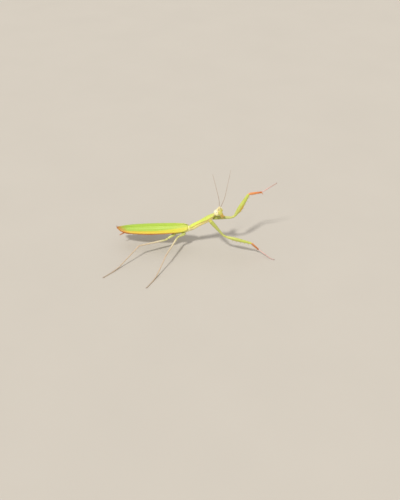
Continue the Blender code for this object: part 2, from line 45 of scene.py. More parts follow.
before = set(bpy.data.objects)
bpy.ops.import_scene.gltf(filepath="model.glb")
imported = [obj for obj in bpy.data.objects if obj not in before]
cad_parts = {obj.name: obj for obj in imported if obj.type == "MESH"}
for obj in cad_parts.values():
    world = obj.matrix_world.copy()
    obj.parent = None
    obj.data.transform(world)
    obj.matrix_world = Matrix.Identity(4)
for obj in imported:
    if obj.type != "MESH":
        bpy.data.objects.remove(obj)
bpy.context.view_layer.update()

MM = 0.001
BODY = "root"
LEFT_RIGHT = (("left", 1), ("right", -1))
UP = Vector((0.0, 0.0, 1.0))

# Where the animal's frames stand: each is aimed by azimuth and elevation.
WAIST = Vector((-0.3, 6.78, 14.0))
TRUNK_AIM = (-5.5, 5.5)
PRONOTUM_AIM = (-10.0, 36.5)
HEAD_AIM = (-32.0, -38.0)
HEAD_REACH = 19.3
HEAD_RISE = 0.6

PRONOTUM_LENGTH = 16.4
THORAX_LENGTH = 11.0
ABDOMEN_LENGTH = 24.6
ABDOMEN_SEGMENTS = 8
TAIL_X = -THORAX_LENGTH - ABDOMEN_LENGTH
TEGMEN_LENGTH = 40.0
WING_BASE = 0.9
CERCUS_LENGTH = 3.8

FORE_LENGTHS = {"coxa": 10.7, "trochanter": 2.1, "femur": 14.0, "tibia": 7.2, "tarsus": 9.2}
MID_LENGTHS = {"coxa": 4.7, "femur": 14.6, "tibia": 12.4, "tarsus": 9.4}
HIND_LENGTHS = {"coxa": 6.3, "femur": 15.3, "tibia": 15.8, "tarsus": 10.4}


# ---------------------------------------------------------------- settings

def length(name, description, default):
    """A length that the sidebar shows, given in millimetres."""
    return FloatProperty(
        name=name, description=description, default=default * MM, min=0.0, unit="LENGTH", precision=5)


def colour(name, description, default):
    """A colour that the sidebar shows."""
    return FloatVectorProperty(
        name=name, description=description, default=default, subtype="COLOR", size=3, min=0.0, max=1.0)


class MantisSizes(bpy.types.PropertyGroup):
    """Sizes of what the skin adds to the solids."""
    tegmen_thickness: length("Forewing thickness", "Thickness of a leathery forewing", 0.16)
    hindwing_thickness: length("Hind wing thickness", "Thickness of a folded hind wing", 0.16)
    vein_radius: length("Vein radius", "Radius of a main wing vein", 0.05)
    antenna_length: length("Feeler length", "Length of a feeler from its socket", 22.0)
    antenna_rings: IntProperty(name="Feeler rings", description="Rings of one feeler", default=96, min=8)
    femur_spine: length("Femur spine", "Length of the long spines under the grasping femur", 1.15)
    tibia_spine: length("Tibia spine", "Length of the spines under the grasping tibia", 0.85)
    edge_tooth: length("Shield tooth", "Length of the teeth along the shield's edges", 0.13)
    bristle_length: length("Bristle length", "Length of a bristle on the walking legs", 0.34)
    bristle_density: FloatProperty(
        name="Bristle density", description="Bristles on a square metre of skin", default=3.2e6, min=0.0)
    claw_length: length("Claw length", "Length of a claw of a foot", 0.62)


class MantisColours(bpy.types.PropertyGroup):
    """Colours of the skin."""
    tegmen_green: colour("Forewing green", "Middle field of the forewings", (0.35, 0.53, 0.045))
    tegmen_yellow: colour("Forewing yellow", "Front margin of the forewings", (0.72, 0.54, 0.045))
    wing_tip: colour("Wing tip", "Tips and outer edge of the forewings", (0.46, 0.13, 0.035))
    shield: colour("Shield", "Back of the shield behind the head", (0.66, 0.76, 0.12))
    yellow_edge: colour("Yellow edge", "Edges of the shield and of the limbs", (0.78, 0.66, 0.12))
    body: colour("Body", "Plates of thorax and abdomen", (0.50, 0.56, 0.16))
    membrane: colour("Membrane", "Soft skin between the plates", (0.70, 0.58, 0.34))
    crown: colour("Crown", "Top of the head", (0.95, 0.86, 0.52))
    face: colour("Face", "Plates of the face", (0.59, 0.56, 0.12))
    eye: colour("Eye", "Compound eyes", (0.93, 0.83, 0.54))
    mouth: colour("Mouth", "Mouthparts", (0.64, 0.40, 0.09))
    femur: colour("Grasping femur", "Grasping femur and its coxa", (0.53, 0.59, 0.11))
    femur_patch: colour("Femur patch", "Patch on the grasping femur", (0.72, 0.46, 0.04))
    tibia: colour("Grasping tibia", "Grasping tibia", (0.74, 0.25, 0.07))
    foot: colour("Foot", "Feet of the grasping legs", (0.66, 0.43, 0.41))
    leg: colour("Walking leg", "Walking legs beyond their bases", (0.60, 0.46, 0.34))
    feeler: colour("Feeler", "Feelers", (0.34, 0.20, 0.10))
    tail: colour("Tail", "Cerci and the plate under them", (0.55, 0.20, 0.10))
    spine_tip: colour("Spine tip", "Tips of spines and claws", (0.07, 0.03, 0.015))
    floor: colour("Floor", "Floor under the model", (0.52, 0.49, 0.45))


def size(name):
    """A length of the settings in millimetres."""
    return getattr(bpy.context.scene.mantis_sizes, name) / MM


def tint(name):
    """A colour of the settings."""
    return tuple(getattr(bpy.context.scene.mantis_colours, name))


def shade(rgb, factor):
    """A colour made darker or lighter."""
    return tuple(min(1.0, part * factor) for part in rgb)


# ---------------------------------------------------------------- places and curves

def heading(azimuth, elevation):
    """Unit vector at an azimuth from +X and an elevation above the floor, in degrees."""
    turn, lift = math.radians(azimuth), math.radians(elevation)
    return Vector((math.cos(lift) * math.cos(turn), math.cos(lift) * math.sin(turn), math.sin(lift)))


def turned(degrees, axis):
    """A turn about an axis."""
    return Matrix.Rotation(math.radians(degrees), 4, axis)


def aim(origin, azimuth, elevation):
    """Frame at origin: X along the heading, Y to the left, Z dorsal."""
    return Matrix.Translation(origin) @ turned(azimuth, "Z") @ turned(-elevation, "Y")


def frame_on(origin, forward, side=None):
    """Frame at origin whose X is forward and whose Y is as near to side, if any, as it can be."""
    dorsal = forward.cross(side or forward.orthogonal()).normalized()
    axes = Matrix((forward, dorsal.cross(forward), dorsal)).transposed().to_4x4()
    return Matrix.Translation(origin) @ axes


TRUNK = aim(WAIST, *TRUNK_AIM)
SHIELD = aim(WAIST, *PRONOTUM_AIM)
HEAD = aim(SHIELD @ Vector((HEAD_REACH, 0.0, HEAD_RISE)), *HEAD_AIM)


def lerp(low, high, share):
    """Number at a share of the way from low to high."""
    return low + (high - low) * share


def steps(start, end, count):
    """Evenly spaced numbers from start to end."""
    return [start + (end - start) * index / (count - 1) for index in range(count)]


def smooth_value(table, x):
    """Value at x of the smooth curve through a table of (x, value) pairs."""
    last = len(table) - 1
    index = 0
    while index < last - 1 and x > table[index + 1][0]:
        index += 1
    (x0, y0), (x1, y1) = table[index], table[index + 1]
    before, after = table[max(index - 1, 0)], table[min(index + 2, last)]
    span = x1 - x0
    slope0 = (y1 - before[1]) / (x1 - before[0]) * span
    slope1 = (after[1] - y0) / (after[0] - x0) * span
    s = min(max((x - x0) / span, 0.0), 1.0)
    return ((2 * s ** 3 - 3 * s ** 2 + 1) * y0 + (s ** 3 - 2 * s ** 2 + s) * slope0
            + (3 * s ** 2 - 2 * s ** 3) * y1 + (s ** 3 - s ** 2) * slope1)


def smooth_row(rows, x):
    """Values at x of the smooth curves through rows of (x, value, value, ...)."""
    return [smooth_value([(row[0], row[column]) for row in rows], x) for column in range(1, len(rows[0]))]


def ease(low, high, x):
    """0 below low, 1 above high and a soft step between them."""
    s = min(max((x - low) / (high - low), 0.0), 1.0)
    return s * s * (3.0 - 2.0 * s)


def bell(x, middle, width):
    """1 at the middle, falling to 0 some widths away."""
    return math.exp(-((x - middle) / width) ** 2)


def cap_steps(*angles):
    """Shares of a round end's depth at which its rings stand."""
    return [1.0 - math.cos(math.radians(angle)) for angle in angles]


def cap_width(share):
    """Share of the full width that a round end has at a share of its depth."""
    return math.sqrt(max(0.0, 1.0 - (1.0 - share) ** 2))


def around(sides):
    """(angle, cosine, sine) of evenly spaced points round a ring."""
    turns = [math.tau * index / sides for index in range(sides)]
    return [(turn, math.cos(turn), math.sin(turn)) for turn in turns]


# ---------------------------------------------------------------- meshes

class Skin:
    """A mesh of closed shells in millimetres, each lofted through its rings.

    Each point stores how far along its piece it lies, from 0 to 1, how high on the limb, from -1
    to 1, and how near to a joint, from 0 to 1, for the materials, and which way the piece runs,
    for the bristles.
    """

    def __init__(self, shells=()):
        self.bm = bmesh.new()
        layers = self.bm.verts.layers
        self.along, self.height, self.joint = [
            layers.float.new(name) for name in ("along", "height", "joint")]
        self.way = layers.float_vector.new("way")
        for rings in shells:
            self.loft(rings)

    def point(self, co, along, height, joint, way):
        vert = self.bm.verts.new(co)
        vert[self.along], vert[self.height], vert[self.joint], vert[self.way] = along, height, joint, way
        return vert

    def loft(self, rings):
        """Closed shell through rings of (points, along, joint), with a pole at each end."""
        way = (rings[-1][0][0] - rings[0][0][0]).normalized()
        made = [[self.point(co, along, up, joint, way)
                 for co, (_, _, up) in zip(points, around(len(points)))]
                for points, along, joint in rings]
        for ring, following in zip(made, made[1:]):
            for index, vert in enumerate(ring):
                after = (index + 1) % len(ring)
                self.bm.faces.new((vert, ring[after], following[after], following[index]))
        for ring, (_, along, joint), order in ((made[0], rings[0], -1), (made[-1], rings[-1], 1)):
            pole = self.point(sum((vert.co for vert in ring), Vector()) / len(ring), along, 0.0, joint, way)
            for vert, after in zip(ring, ring[1:] + ring[:1]):
                self.bm.faces.new((vert, after, pole)[::order])

    def finish(self, name, material, floor=None):
        """The piece in metres, smooth, facing outwards and at the origin, and no lower than the floor."""
        if floor is not None:
            for vert in self.bm.verts:
                vert.co.z = max(vert.co.z, floor)
        bmesh.ops.recalc_face_normals(self.bm, faces=self.bm.faces)
        bmesh.ops.scale(self.bm, vec=(MM, MM, MM), verts=self.bm.verts)
        mesh = mesh_of(self.bm)
        mesh.shade_smooth()
        return add_piece(name, mesh, material)


def mesh_of(bm):
    """The mesh of a finished bmesh."""
    mesh = bpy.data.meshes.new("mesh")
    bm.to_mesh(mesh)
    bm.free()
    return mesh


def add_piece(name, mesh, material):
    """Link a finished mesh at the origin, with its material."""
    mesh.materials.clear()
    mesh.materials.append(material)
    mesh.name = name
    return link(name, mesh)


def link(name, data):
    """A new object of the scene."""
    added = bpy.data.objects.new(name, data)
    bpy.context.scene.collection.objects.link(added)
    return added


def settle(piece, slot, *nodes):
    """Fix a piece to the body and hide the solids that it stands for."""
    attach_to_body(piece, BODY)
    if nodes:
        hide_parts(*nodes)
    return piece


def make_piece(name, shells, paint, slot, *nodes, floor=None):
    """Closed shells as one settled piece."""
    return settle(Skin(shells).finish(name, paint, floor), slot, *nodes)


def oval(place, x, z, half_width, rise, sag, sides, shape=None):
    """Points of an oval ring about a frame's X axis; the shape changes its radius by angle."""
    points = []
    for turn, across, up in around(sides):
        swell = shape(x, turn) if shape else 1.0
        points.append(place @ Vector(
            (x, across * half_width * swell, z + up * swell * (rise if up > 0 else sag))))
    return points


def limb_rings(place, start, end, profile, sides, rings, shape=None, along=(0.0, 1.0)):
    """Rings of a limb with two round ends; its profile lists (share, half width, rise, sag)."""
    first, final = max(profile[0][1:]), max(profile[-1][1:])
    caps = cap_steps(14, 34, 54, 74)
    places = ([start + first * cap for cap in caps] + steps(start + first, end - final, rings)
              + [end - final * cap for cap in reversed(caps)])
    made = []
    for x in places:
        share = (x - start) / (end - start)
        width = cap_width(min((x - start) / first, (end - x) / final, 1.0))
        form = [value * width for value in smooth_row(profile, share)]
        joint = max(bell(x, start, 1.4 * first), bell(x, end, 1.4 * final))
        made.append((oval(place, x, 0.0, *form, sides, shape), lerp(*along, share), joint))
    return made


def ball_rings(centre, forward, radius, along, sides=16):
    """Rings of a small ball."""
    place = frame_on(centre, forward)
    made = []
    for angle in (-72, -48, -24, 0, 24, 48, 72):
        x, width = radius * math.sin(math.radians(angle)), radius * math.cos(math.radians(angle))
        made.append((oval(place, x, 0.0, width, width, width, sides), along, 1.0))
    return made


def bead_chain(points, radii, segments, sides=12, pinch=0.8, lap=0.3):
    """Shells of round segments along a line of points, each pinched at its root and lapping the next."""
    shells = []
    for index in range(segments):
        shares = (index / segments, (index + 1) / segments)
        (start, near), (end, far) = [
            (along_line(points, share), smooth_value(radii, share)) for share in shares]
        root = near * pinch
        profile = ((0.0, root, root, root), (0.6, near, near, near), (1.0, far, far, far))
        shells.append(limb_rings(
            frame_on(start, (end - start).normalized()), -lap * near, (end - start).length + lap * far,
            profile, sides, 6, along=shares))
    return shells


def along_line(points, share):
    """Point at a share of the length of a line of points."""
    spans = [(b - a).length for a, b in zip(points, points[1:])]
    left = share * sum(spans)
    for start, end, span in zip(points, points[1:], spans):
        if left <= span:
            return start.lerp(end, left / span)
        left -= span
    return points[-1].copy()


def curve_data(points, radii=None):
    """A line of points in millimetres as a curve in metres, with its radius at each point."""
    curve = bpy.data.curves.new("path", "CURVE")
    curve.dimensions = "3D"
    spline = curve.splines.new("POLY")
    spline.points.add(len(points) - 1)
    for index, (point, co) in enumerate(zip(spline.points, points)):
        point.co = (*(Vector(co) * MM), 1.0)
        point.radius = radii[index] * MM if radii else 1.0
    return curve


def grow(tree, source, **inputs):
    """Plain mesh that a node tree grows from a mesh or a curve."""
    holder = link("holder", source)
    step = holder.modifiers.new("grow", "NODES")
    step.node_group = tree
    for socket in tree.interface.items_tree:
        if socket.in_out == "INPUT" and input_key(socket.name) in inputs:
            step[socket.identifier] = inputs[input_key(socket.name)]
    mesh = bpy.data.meshes.new_from_object(holder.evaluated_get(bpy.context.evaluated_depsgraph_get()))
    holder.modifiers.remove(step)
    bpy.data.objects.remove(holder)
    if not mesh.polygons:
        raise RuntimeError(f"the node tree {tree.name} grew nothing")
    return mesh


def merged(meshes):
    """One mesh of several."""
    bm = bmesh.new()
    for mesh in meshes:
        bm.from_mesh(mesh)
        bpy.data.meshes.remove(mesh)
    return mesh_of(bm)


# ---------------------------------------------------------------- node trees

INPUT_KINDS = {int: "Int", float: "Float", tuple: "Vector"}


def input_key(label):
    """Name in Python of an input that the tree shows by a label."""
    return label.lower().replace(" ", "_")


class Nodes:
    """Adds nodes to a node tree."""

    def __init__(self, tree):
        self.tree = tree

    def add(self, kind, links=None, **settings):
        """A node with its settings; links go to its inputs, as sockets or as plain values."""
        node = self.tree.nodes.new(kind)
        for setting, value in settings.items():
            setattr(node, setting, value)
        for key, value in (links or {}).items():
            if isinstance(value, bpy.types.NodeSocket):
                self.tree.links.new(value, node.inputs[key])
            else:
                node.inputs[key].default_value = value
        return node

    def get(self, kind, output, links=None, **settings):
        """One output of a new node."""
        return self.add(kind, links, **settings).outputs[output]

    def math(self, operation, first, second):
        return self.get("ShaderNodeMath", 0, {0: first, 1: second}, operation=operation)

    def times(self, first, second):
        return self.math("MULTIPLY", first, second)


class Tree(Nodes):
    """Builds a geometry node tree with named inputs."""

    def __init__(self, name, **inputs):
        super().__init__(bpy.data.node_groups.new(name, "GeometryNodeTree"))
        self.socket("Geometry", "Geometry", "OUTPUT")
        self.socket("Geometry", "Geometry")
        for key, default in inputs.items():
            made = self.socket(key.replace("_", " ").capitalize(), INPUT_KINDS[type(default)])
            made.default_value = default
        self.socket("Material", "Material")
        self.inputs = self.tree.nodes.new("NodeGroupInput").outputs

    def socket(self, label, kind, way="INPUT"):
        return self.tree.interface.new_socket(label, in_out=way, socket_type=f"NodeSocket{kind}")

    def __getitem__(self, label):
        return self.inputs[label]

    def attribute(self, name, kind="FLOAT"):
        return self.get("GeometryNodeInputNamedAttribute", "Attribute", {"Name": name}, data_type=kind)

    def dots(self):
        """As many points along the curve that comes in as the input Count says."""
        return self.add("GeometryNodeCurveToPoints", {"Curve": self["Geometry"], "Count": self["Count"]},
                        mode="COUNT").outputs

    def cone(self, vertices, rings, top, bottom, depth):
        return self.get("GeometryNodeMeshCone", "Mesh", {
            "Vertices": vertices, "Side Segments": rings, "Fill Segments": 1, "Radius Top": top,
            "Radius Bottom": bottom, "Depth": depth}, fill_type="TRIANGLE_FAN")

    def rotation_to(self, way):
        return self.get("FunctionNodeAlignRotationToVector", "Rotation", {"Vector": way}, axis="Z")

    def scatter(self, points, shape, rotation, scale):
        """Put a shape on each point and end the tree."""
        return self.finish(self.get("GeometryNodeInstanceOnPoints", "Instances", {
            "Points": points, "Instance": shape, "Rotation": rotation, "Scale": scale}))

    def finish(self, geometry):
        """Realize the instances, smooth them, give them the material and end the tree."""
        real = self.get("GeometryNodeRealizeInstances", "Geometry", {"Geometry": geometry})
        smooth = self.get("GeometryNodeSetShadeSmooth", "Geometry", {"Geometry": real})
        painted = self.get("GeometryNodeSetMaterial", "Geometry", {
            "Geometry": smooth, "Material": self["Material"]})
        self.add("NodeGroupOutput", {"Geometry": painted})
        return self.tree


def thorn(tree, sides, rings, bend):
    """Cone along Z that bends towards X, with its height stored as along for the tip's colour."""
    tall, blunt = tree["Length"], 0.008 * MM
    cone = tree.cone(sides, rings, blunt, tree["Width"], tall)
    place = tree.get("GeometryNodeInputPosition", "Position")
    share = tree.math("DIVIDE", tree.get("ShaderNodeSeparateXYZ", "Z", {"Vector": place}), tall)
    lean = tree.times(tree.times(share, share), tree.times(tall, bend))
    shift = tree.get("ShaderNodeCombineXYZ", "Vector", {"X": lean})
    stored = tree.get("GeometryNodeStoreNamedAttribute", "Geometry", {
        "Geometry": cone, "Name": "along", "Value": share}, data_type="FLOAT", domain="POINT")
    return tree.get("GeometryNodeSetPosition", "Geometry", {"Geometry": stored, "Offset": shift})


def thorn_row_tree():
    """A row of thorns along a curve, long and short by turns."""
    tree = Tree("thorn_row", count=8, length=0.001, width=0.0002, short_share=0.6, bend=0.2,
                direction=(0.0, 0.0, -1.0))
    odd = tree.math("MODULO", tree.get("GeometryNodeInputIndex", "Index"), 2.0)
    cut = tree.math("SUBTRACT", 1.0, tree["Short share"])
    scale = tree.math("SUBTRACT", 1.0, tree.times(odd, cut))
    return tree.scatter(tree.dots()["Points"], thorn(tree, 8, 5, tree["Bend"]),
                        tree.rotation_to(tree["Direction"]), scale)


def thorn_row(paint, points, direction, count, tall, width, short_share=1.0, bend=0.1):
    """Mesh of a row of thorns along a line of points; tall and wide in millimetres."""
    tree = bpy.data.node_groups.get("thorn_row") or thorn_row_tree()
    return grow(tree, curve_data(points), count=count, length=tall * MM, width=width * MM,
                short_share=short_share, bend=bend, direction=direction, material=paint)


def bristle_tree():
    """Fine bristles scattered over a skin, leaning the way that the limb runs."""
    tree = Tree("bristles", density=3e6, length=0.0003, width=0.00002, spread=0.55, seed=4)
    dots = tree.add("GeometryNodeDistributePointsOnFaces", {
        "Mesh": tree["Geometry"], "Density": tree["Density"], "Seed": tree["Seed"]},
        distribute_method="RANDOM").outputs
    out = tree.get("ShaderNodeVectorMath", 0, {0: dots["Normal"], "Scale": tree["Spread"]},
                   operation="SCALE")
    lean = tree.get("ShaderNodeVectorMath", 0, {0: out, 1: tree.attribute("way", "FLOAT_VECTOR")},
                    operation="ADD")
    chance = tree.add("FunctionNodeRandomValue", {"Seed": tree["Seed"]}, data_type="FLOAT")
    for name, limit in (("Min", 0.55), ("Max", 1.1)):
        next(part for part in chance.inputs if part.name == name and part.enabled).default_value = limit
    scale = next(part for part in chance.outputs if part.enabled)
    return tree.scatter(dots["Points"], thorn(tree, 4, 2, 0.15), tree.rotation_to(lean), scale)


def ringed_feeler_tree():
    """Ring after ring along a curve, each as wide as the curve's radius and flared at its far end."""
    tree = Tree("ringed_feeler", count=60, flare=0.8)
    span = tree.get("GeometryNodeCurveLength", "Length", {"Curve": tree["Geometry"]})
    pitch = tree.math("DIVIDE", span, tree.math("SUBTRACT", tree["Count"], 1.0))
    ring = tree.cone(12, 1, 1.0, tree["Flare"], 1.06)
    radius = tree.get("GeometryNodeInputRadius", "Radius")
    scale = tree.get("ShaderNodeCombineXYZ", "Vector", {"X": radius, "Y": radius, "Z": pitch})
    dots = tree.dots()
    return tree.scatter(dots["Points"], ring, dots["Rotation"], scale)


def vein_tree():
    """Round veins along the edges of a net, each as thick as the net's points say."""
    tree = Tree("wing_veins", radius=0.00007, sides=6)
    lines = tree.get("GeometryNodeMeshToCurve", "Curve", {"Mesh": tree["Geometry"]})
    sized = tree.get("GeometryNodeSetCurveRadius", "Curve", {
        "Curve": lines, "Radius": tree.attribute("thick")})
    outline = tree.get("GeometryNodeCurvePrimitiveCircle", "Curve", {
        "Resolution": tree["Sides"], "Radius": tree["Radius"]}, mode="RADIUS")
    return tree.finish(tree.get("GeometryNodeCurveToMesh", "Mesh", {
        "Curve": sized, "Profile Curve": outline, "Fill Caps": True}))


# ---------------------------------------------------------------- materials

def opaque(value):
    """A colour with its alpha, or a socket as it is."""
    return value if isinstance(value, bpy.types.NodeSocket) else (*value, 1.0)


class Paint(Nodes):
    """Builds one material's nodes."""

    def __init__(self, name, roughness=0.4, coat=0.0, coat_roughness=0.2, subsurface=0.0, specular=0.5):
        self.material = bpy.data.materials.new(name)
        self.material.use_nodes = True
        super().__init__(self.material.node_tree)
        self.shader = self.tree.nodes["Principled BSDF"].inputs
        for socket, value in (
                ("Roughness", roughness), ("Coat Weight", coat), ("Coat Roughness", coat_roughness),
                ("Subsurface Weight", subsurface), ("Specular IOR Level", specular),
                ("Subsurface Scale", 0.4 * MM), ("Subsurface Radius", (1.0, 0.8, 0.3))):
            self.shader[socket].default_value = value
        self.place = self.get("ShaderNodeTexCoord", "Object")

    def value(self, source):
        """A socket as it is, or the value that the mesh stores at its points under a name."""
        if not isinstance(source, str):
            return source
        return self.get("ShaderNodeAttribute", "Fac", attribute_name=source)

    def range(self, source, low, high, out_low=0.0, out_high=1.0):
        """A soft step of a value from one range to another."""
        return self.get("ShaderNodeMapRange", "Result", {
            "Value": self.value(source), "From Min": low, "From Max": high, "To Min": out_low,
            "To Max": out_high}, interpolation_type="SMOOTHSTEP")

    def ramp(self, source, *stops):
        """Colours by a value: stops of (position, colour)."""
        node = self.add("ShaderNodeValToRGB", {"Fac": self.value(source)})
        elements = node.color_ramp.elements
        while len(elements) < len(stops):
            elements.new(0.5)
        for element, (position, rgb) in zip(elements, stops):
            element.position, element.color = position, opaque(rgb)
        return node.outputs["Color"]

    def mix(self, factor, first, second, most=None):
        """Two colours by a factor, which is cut down to most where that is given."""
        factor = self.times(factor, most) if most else factor
        return self.get("ShaderNodeMix", 2, {0: factor, 6: opaque(first), 7: opaque(second)},
                        data_type="RGBA")

    def noise(self, per_mm, detail=3.0):
        """Soft noise with so many waves to a millimetre."""
        return self.get("ShaderNodeTexNoise", "Fac", {
            "Vector": self.place, "Scale": per_mm / MM, "Detail": detail, "Roughness": 0.55})

    def cloud(self, per_mm, detail=3.0, low=0.35, high=0.7, *out):
        """Patches of noise with clear ground between them."""
        return self.range(self.noise(per_mm, detail), low, high, *out)

    def cells(self, per_mm, feature="F1", place=None):
        """Distance to the nearest cell point, or to the cells' edges."""
        return self.get("ShaderNodeTexVoronoi", "Distance", {
            "Vector": place or self.place, "Scale": per_mm / MM}, feature=feature)

    def finish(self, colour_socket, height, depth, roughness=None):
        """Connect colour, bump of a depth in millimetres and roughness to the shader."""
        bump = self.get("ShaderNodeBump", "Normal", {
            "Height": height, "Distance": depth * MM, "Strength": 1.0})
        for socket, value in (("Base Color", colour_socket), ("Normal", bump), ("Roughness", roughness)):
            if value:
                self.tree.links.new(value, self.shader[socket])
        return self.material


def cuticle_surface(paint, colour_socket, mottle=0.16):
    """Finish of insect skin: soft mottling, pale specks and a fine grain."""
    darker = paint.mix(paint.cloud(0.9, 4.0), colour_socket, (0.16, 0.20, 0.03), mottle)
    specks = paint.range(paint.cells(3.4), 0.30, 0.12)
    speckled = paint.mix(specks, darker, (0.90, 0.86, 0.52), 0.09)
    fine = paint.math("ADD", paint.noise(9.0, 2.0), paint.times(paint.cells(3.4), 0.7))
    return paint.finish(speckled, fine, 0.012, paint.cloud(2.2, 2.0, 0.3, 0.7, 0.34, 0.50))


def limb_paint(name, stops, under=None, joint=None, patch=None, joint_range=(0.45, 0.95), joint_most=0.55):
    """Skin of a limb: colours along it, others under it and at its joints, and a patch under its middle."""
    paint = Paint(name, coat=0.12, coat_roughness=0.25, subsurface=0.12)
    result = paint.ramp("along", *stops)
    if patch:
        middle = paint.times(paint.range("along", 0.56, 0.66), paint.range("along", 0.80, 0.70))
        result = paint.mix(paint.times(middle, paint.range("height", 0.25, -0.6)), result, patch)
    if under:
        result = paint.mix(paint.range("height", -0.15, -0.85), result, under, 0.75)
    if joint:
        result = paint.mix(paint.range("joint", *joint_range), result, joint, joint_most)
    return cuticle_surface(paint, result)


def spine_paint(name, base, tip=None):
    """Spines, claws and bristles: the limb's colour at the root, dark or of a given colour at the tip."""
    paint = Paint(name, roughness=0.3, coat=0.3)
    result = paint.ramp("along", (0.0, base), (0.55, shade(base, 0.85)),
                        (0.9, tip or tint("spine_tip")))
    return paint.finish(result, paint.noise(6.0), 0.006)


def tegmen_paint():
    """Leathery forewing: green field, yellow front margin, orange edge and tip, fine net of cells."""
    paint = Paint("tegmen", coat=0.06, coat_roughness=0.35, subsurface=0.10, specular=0.35)
    along, across = paint.value("along"), paint.value("across")
    green, tip = tint("tegmen_green"), tint("wing_tip")
    wander = paint.times(paint.math("SUBTRACT", paint.noise(0.35, 2.0), 0.5), 0.05)
    base_widening = paint.range(along, 0.5, 0.0, 0.0, 0.16)
    side = paint.math("ADD", paint.math("ADD", across, wander), base_widening)
    yellow = paint.ramp(along, (0.0, (0.70, 0.68, 0.11)), (0.18, (0.66, 0.62, 0.045)),
                        (0.5, tint("tegmen_yellow")), (1.0, (0.70, 0.40, 0.05)))
    field = paint.ramp(along, (0.0, (0.60, 0.64, 0.13)), (0.06, (0.47, 0.57, 0.065)),
                       (0.22, (0.39, 0.55, 0.045)), (0.7, green), (0.96, shade(green, 0.78)))
    field = paint.mix(paint.cloud(1.6, 3.0, 0.35, 0.65), field, (0.22, 0.40, 0.03), 0.12)
    banded = paint.mix(paint.range(side, 0.74, 0.86), field, yellow)
    border = paint.times(paint.range(across, 0.915, 0.975), paint.range(along, 0.04, 0.25))
    edged = paint.mix(border, banded, shade(tip, 0.9))
    reach = paint.math("ADD", along, paint.times(paint.range(across, 0.3, 1.0), 0.06))
    tipped = paint.mix(paint.range(reach, 0.85, 0.97), edged, tip)
    stretch = paint.get("ShaderNodeMapping", "Vector", {"Vector": paint.place, "Scale": (0.45, 1.0, 1.0)})
    net = paint.range(paint.cells(2.6, "DISTANCE_TO_EDGE", stretch), 0.0, 0.10)
    veined = paint.mix(paint.math("SUBTRACT", 1.0, net), tipped, (0.66, 0.70, 0.16), 0.22)
    relief = paint.math("SUBTRACT", paint.times(paint.noise(6.0), 0.35), net)
    return paint.finish(veined, relief, 0.012, paint.cloud(1.5, 3.0, 0.3, 0.7, 0.36, 0.5))


def vein_paint():
    """Wing veins: a little paler than the field, yellow to the front and orange at the tip."""
    paint = Paint("wing_vein", roughness=0.38, coat=0.1)
    along, across = paint.value("along"), paint.value("across")
    green = paint.ramp(along, (0.0, (0.66, 0.70, 0.16)), (0.2, (0.48, 0.62, 0.09)),
                       (1.0, (0.40, 0.56, 0.08)))
    field = paint.mix(paint.range(across, 0.74, 0.86), green, (0.76, 0.62, 0.09))
    border = paint.times(paint.range(across, 0.95, 0.99), paint.range(along, 0.04, 0.25))
    edged = paint.mix(border, field, tint("wing_tip"))
    tipped = paint.mix(paint.range(along, 0.92, 0.99), edged, shade(tint("wing_tip"), 0.85))
    return paint.finish(tipped, paint.noise(7.0), 0.006)


def hindwing_paint():
    """Folded hind wing: pale and satiny, reddish at its tip."""
    paint = Paint("hindwing", roughness=0.3, coat=0.2, subsurface=0.1)
    result = paint.mix(paint.cloud(0.8, 3.0, 0.3), (0.62, 0.60, 0.36), (0.50, 0.56, 0.22), 0.4)
    tipped = paint.mix(paint.range("along", 0.85, 1.0), result, shade(tint("wing_tip"), 1.2))
    return paint.finish(tipped, paint.noise(4.0), 0.01)


def eye_paint():
    """Compound eye: pale, glossy, finely faceted, with a small dark point and faint bands."""
    paint = Paint("eye", roughness=0.22, coat=0.6, coat_roughness=0.08, subsurface=0.2)
    base = tint("eye")
    banded = paint.ramp("along", (0.0, shade(base, 1.1)), (0.45, base),
                        (0.75, (0.86, 0.82, 0.42)), (1.0, (0.62, 0.62, 0.20)))
    tinted = paint.mix(paint.cloud(1.2), banded, (0.86, 0.62, 0.42), 0.2)
    rimmed = paint.mix(paint.range("joint", 0.55, 0.9), tinted, (0.66, 0.60, 0.22))
    dark = paint.mix(paint.range("height", 0.980, 0.995), rimmed, (0.14, 0.08, 0.045), 0.8)
    return paint.finish(dark, paint.cells(32.0), 0.007)


def bead_paint():
    """The three simple eyes on the brow."""
    paint = Paint("ocellus", roughness=0.12, coat=0.8, coat_roughness=0.05)
    result = paint.mix(paint.noise(3.0), (0.74, 0.54, 0.24), (0.86, 0.68, 0.36))
    return paint.finish(result, paint.noise(2.0), 0.004)


def head_paint():
    """Head capsule: cream crown, yellow-green face and an orange tint at the mouth."""
    paint = Paint("head", coat=0.12, coat_roughness=0.25, subsurface=0.15)
    crown, face = tint("crown"), tint("face")
    result = paint.ramp("along", (0.0, crown), (0.30, crown), (0.46, shade(face, 1.15)),
                        (0.75, face), (1.0, (0.60, 0.36, 0.08)))
    lined = paint.mix(paint.range("joint", 0.25, 0.9), result, (0.42, 0.34, 0.08), 0.5)
    return cuticle_surface(paint, lined, mottle=0.10)


def shield_paint():
    """Shield behind the head: yellow-green back, yellow side edges and a pinkish lower border."""
    paint = Paint("shield", coat=0.15, coat_roughness=0.25, subsurface=0.10)
    back = paint.ramp("along", (0.0, (0.66, 0.70, 0.14)), (0.15, tint("shield")),
                      (0.75, shade(tint("shield"), 0.95)), (1.0, (0.60, 0.66, 0.16)))
    edged = paint.mix(paint.range("height", 0.34, 0.06), back, tint("yellow_edge"))
    lower = paint.mix(paint.range("height", -0.02, -0.3), edged, (0.92, 0.76, 0.26))
    lined = paint.mix(paint.range("joint", 0.3, 0.9), lower, (0.34, 0.42, 0.08), 0.45)
    return cuticle_surface(paint, lined, mottle=0.12)


